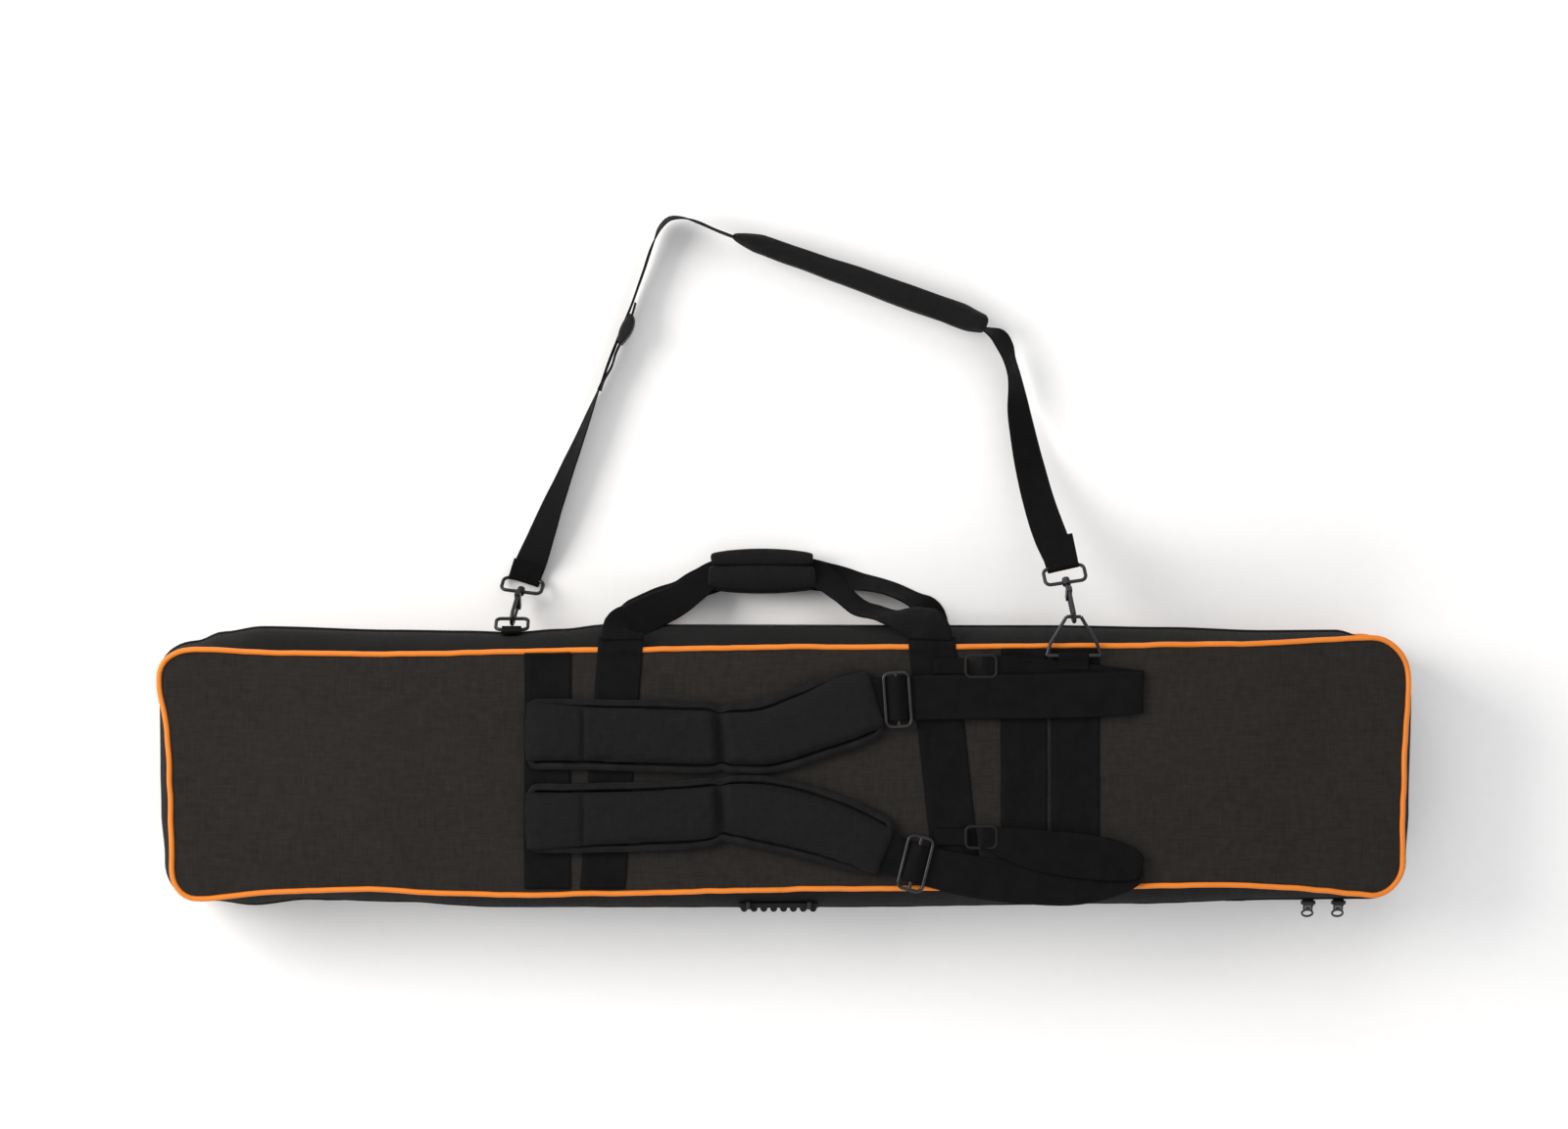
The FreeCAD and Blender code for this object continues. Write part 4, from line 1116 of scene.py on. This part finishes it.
def build_ring_tabs():
    low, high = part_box("left_ring_tab")
    ring_loop("left", LEFT_RING_BAR, [(low.y + 0.0006, high.z), (low.y + 0.0006, 0.085)], (190, 370, 0.0033),
              [(0.1548, 0.0815), (0.1532, 0.088), (0.1528, high.z - 0.001)], 0.022)
    low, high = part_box("right_ring_tab")
    ring_loop("right", RIGHT_RING_BAR, [(low.y + 0.001, low.z + 0.0005), (0.1185, low.z + 0.0008)],
              (250, 440, 0.0031),
              [(0.1195, low.z + 0.0036), (0.1150, low.z + 0.0026), (low.y + 0.003, low.z + 0.0024)], 0.034)


build_ring_tabs()


# ---- shoulder strap

LEFT_BAR = vec(-0.2947, 0.2110, 0.0069)
RIGHT_BAR = vec(0.3114, 0.2252, 0.1134)
EYE_TURN = 0.0031
STRAP_ROUTE = mm_route(
    (-291.5, 219, 6.6, 35, 0), (-281, 245, 10, 37, 25), (-264, 290, 15.5, 38, 47), (-244, 340, 18, 38, 63),
    (-223, 392, 20, 38, 77), (-203, 444, 22, 38, 90), (-194, 468, 23, 38, 90), (-178, 508, 23, 38, 90),
    (-172, 523, 23, 38, 90), (-159, 560, 24, 38, 90), (-147, 594, 26, 38, 88), (-140, 609, 27, 38, 82),
    (-130, 618.5, 28, 38, 80), (-117, 620, 29, 38, 84), (-100, 616, 30, 38, 90), (-75, 605, 31, 38, 90),
    (-59, 599, 31, 38, 90), (80, 548.5, 31, 38, 90), (216, 498, 31, 38, 90), (231, 492, 31, 38, 76),
    (243, 485.5, 31, 38, 58), (250.5, 474, 30, 38, 58), (255, 460, 29, 38, 66), (260, 443, 28, 38, 66),
    (266.5, 396, 26, 38, 43), (275.5, 350, 30, 38, 30), (287, 300, 50, 38, 18), (299, 260, 80, 38, 6),
    (309, 234, 108, 36, 0))
SHOULDER_PAD_LINE = mm_route(
    (-61, 600, 31, 34, 90), (-50, 597, 31, 48, 90), (-15.5, 585.5, 31, 58, 90), (72, 555, 31, 58, 90),
    (146, 528, 31, 58, 90), (201, 508.5, 31, 58, 90), (222, 500.5, 31, 58, 90), (230, 497.5, 31, 54, 90))
SHOULDER_PAD_SWELL = [
    (0, 0.38), (0.016, 0.72), (0.1, 0.84), (0.2, 1.08), (0.295, 1.15), (0.31, 1.3)]
PAD_HEADING = math.atan2(-0.116, 0.323)
TAIL_ROUTE = mm_route(
    (-168, 524, 23, 36, 90), (-173, 507, 23, 36, 90), (-182.5, 484, 23, 36, 90), (-190, 468, 23, 36, 90),
    (-195, 452, 23, 36, 90), (-204.5, 436, 22, 36, 88), (-209, 425, 22, 36, 86))
ADJUSTER_OUTLINE = [
    (-12, -2.0), (-4, -5.2), (5, -7.6), (14, -7.8), (21, -5.6), (25, -2.0), (25, 2.4), (20, 5.0),
    (11, 6.4), (3, 6.6), (-5, 5.2), (-12, 1.6)]


def build_adjuster():
    """The adjuster stands on its edge, so its outline is what shows from above."""
    low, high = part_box("strap_adjuster")
    middle = (low + high) / 2
    along = vec(0.378, 0.926, 0)
    across = vec(-0.926, 0.378, 0)
    rows = []
    for z, size in ((low.z + 0.0006, 0.72), (low.z + 0.0022, 0.93), (low.z + 0.005, 1.0),
                    (high.z - 0.005, 1.0), (high.z - 0.0022, 0.93), (high.z - 0.0006, 0.72)):
        centre = vec(middle.x, middle.y, z)
        rows.append([(centre + along * (x * size * MM) + across * (y * size * MM), (x * MM, z))
                     for x, y in ADJUSTER_OUTLINE])
    piece = finish_piece("strap_adjuster_body", skin(rows, cap=True), PLASTIC, "strap_adjuster",
                         ["strap_adjuster"])
    add_modifier(piece, "BEVEL", width=0.0007, segments=2)
    add_modifier(piece, "SUBSURF", levels=1, render_levels=1)


def end_loop(name, bar, along, up, side, reach, width, lean=0.0):
    """The strap's sewn end: it goes round the eye's bar and back up the strap."""
    along, up, side = Vector(along).normalized(), Vector(up), Vector(side)
    path = [bar + along * (reach * share) + up * 0.0030 + side * (lean * share)
            for share in (1.0, 0.7, 0.35, 0.12)]
    for degrees in range(60, 301, 40):
        angle = math.radians(degrees)
        path.append(bar + along * (math.cos(angle) * EYE_TURN) + up * (math.sin(angle) * EYE_TURN))
    path += [bar + along * (reach * share) - up * 0.0030 for share in (0.12, 0.4, 0.6)]
    finish_piece(name, wrap_mesh(path, side, width, 1.8 * MM), WEBBING_PLAIN, "shoulder_strap")


def build_shoulder_strap():
    finish_piece("shoulder_strap_webbing", strap_mesh(STRAP_ROUTE, 1.8 * MM, 4 * MM, 0.5 * MM, 3.0),
                 WEBBING_38, "shoulder_strap", ["strap_webbing"])
    end_loop("left_strap_end", LEFT_BAR, (0.30, 0.95, 0.05), (0, 0, 1), (0.95, -0.30, 0), 0.020, 0.036)
    end_loop("right_strap_end", RIGHT_BAR, (-0.22, 0.74, -0.64), (-0.13, 0.62, 0.77), (0.97, 0.22, 0), 0.042,
             0.036, 0.004)
    finish_piece("strap_tail", strap_mesh(TAIL_ROUTE, 1.7 * MM, 4 * MM, 0.4 * MM, 8.0), WEBBING_38,
                 "shoulder_strap")
    build_adjuster()
    cushion = strap_mesh(SHOULDER_PAD_LINE, 18.5 * MM, section=PAD_SECTION, swell=SHOULDER_PAD_SWELL)
    pad = finish_piece("shoulder_pad_cushion", cushion, PAD_CLOTH, "shoulder_pad",
                       ["shoulder_pad"])
    stuff(pad, 4.5 * MM, pressure=4.0, cap=5 * MM, floor_z=0.0006, heading=PAD_HEADING)
    for vertex in pad.data.vertices:
        x, y, z = vertex.co
        vertex.co += vec(0.34, 0.94, 0) * (0.0009 * ripple(x, z, y, 0.035, 2.0))


build_shoulder_strap()


# ---- zip sliders

SLIDER_INNER_Y = -0.1476
SLIDER_Z, LUG_Z = 0.07, 0.066


def add_box(work, x, y, z, *size):
    bmesh.ops.create_cube(work, size=1.0, matrix=Matrix.Translation((x, y, z)) @ Matrix.Diagonal((*size, 1)))


def build_slider(side):
    low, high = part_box(f"zip_slider_{side}")
    x = (low.x + high.x) / 2
    outer_y = low.y + 0.004
    work = bmesh.new()
    add_box(work, x, (SLIDER_INNER_Y + outer_y) / 2, SLIDER_Z, 0.016, SLIDER_INNER_Y - outer_y, 0.0115)
    bmesh.ops.bevel(work, geom=list(work.edges), offset=0.0022, segments=3, affect="EDGES")
    for edge in (-1, 1):
        add_box(work, x + edge * 0.0045, low.y + 0.0022, LUG_Z, 0.0018, 0.0050, 0.0042)
    mesh = bpy.data.meshes.new(f"{side}_slider_body")
    work.to_mesh(mesh)
    work.free()
    mesh.uv_layers.new(name="cloth")
    mesh.shade_smooth()
    mesh.materials.append(METAL)
    piece = linked(f"{side}_slider_body", mesh)
    register(piece, f"zip_slider_{side}", [f"zip_slider_{side}"])
    add_modifier(piece, "BEVEL", width=0.0004, segments=2)


build_slider("left")
build_slider("right")


def build_zip_ends():
    """Short stitched tabs where each end of the zip runs into the fold."""
    parts = []
    for x in (-0.507, 0.507):
        y = -CREST_HALF[1] - between(CREST_SHIFT["bottom"], x)
        path = [vec(x, y - out, z) for out, z in ((0.0002, 0.0575), (0.0012, 0.062), (0.0016, 0.0665),
                                                       (0.0014, 0.0695))]
        parts.append(wrap_mesh(path, (1, 0, 0), 0.022, 1.2 * MM))
    finish_piece("zip_end_patches", join_meshes(*parts), WEBBING_PLAIN, "front_half",
                 ["zip_end_tabs"])


build_zip_ends()


# ---- floor

FLOOR_HALF, FLOOR_Z = 9, -0.0004
CORNERS = ((-1, -1), (1, -1), (1, 1), (-1, 1))

floor_mesh = bpy.data.meshes.new("floor")
floor_mesh.from_pydata([(x * FLOOR_HALF, y * FLOOR_HALF, FLOOR_Z) for x, y in CORNERS], [], [(0, 1, 2, 3)])
floor = linked("floor", floor_mesh)
floor_mesh.materials.append(floor_material())
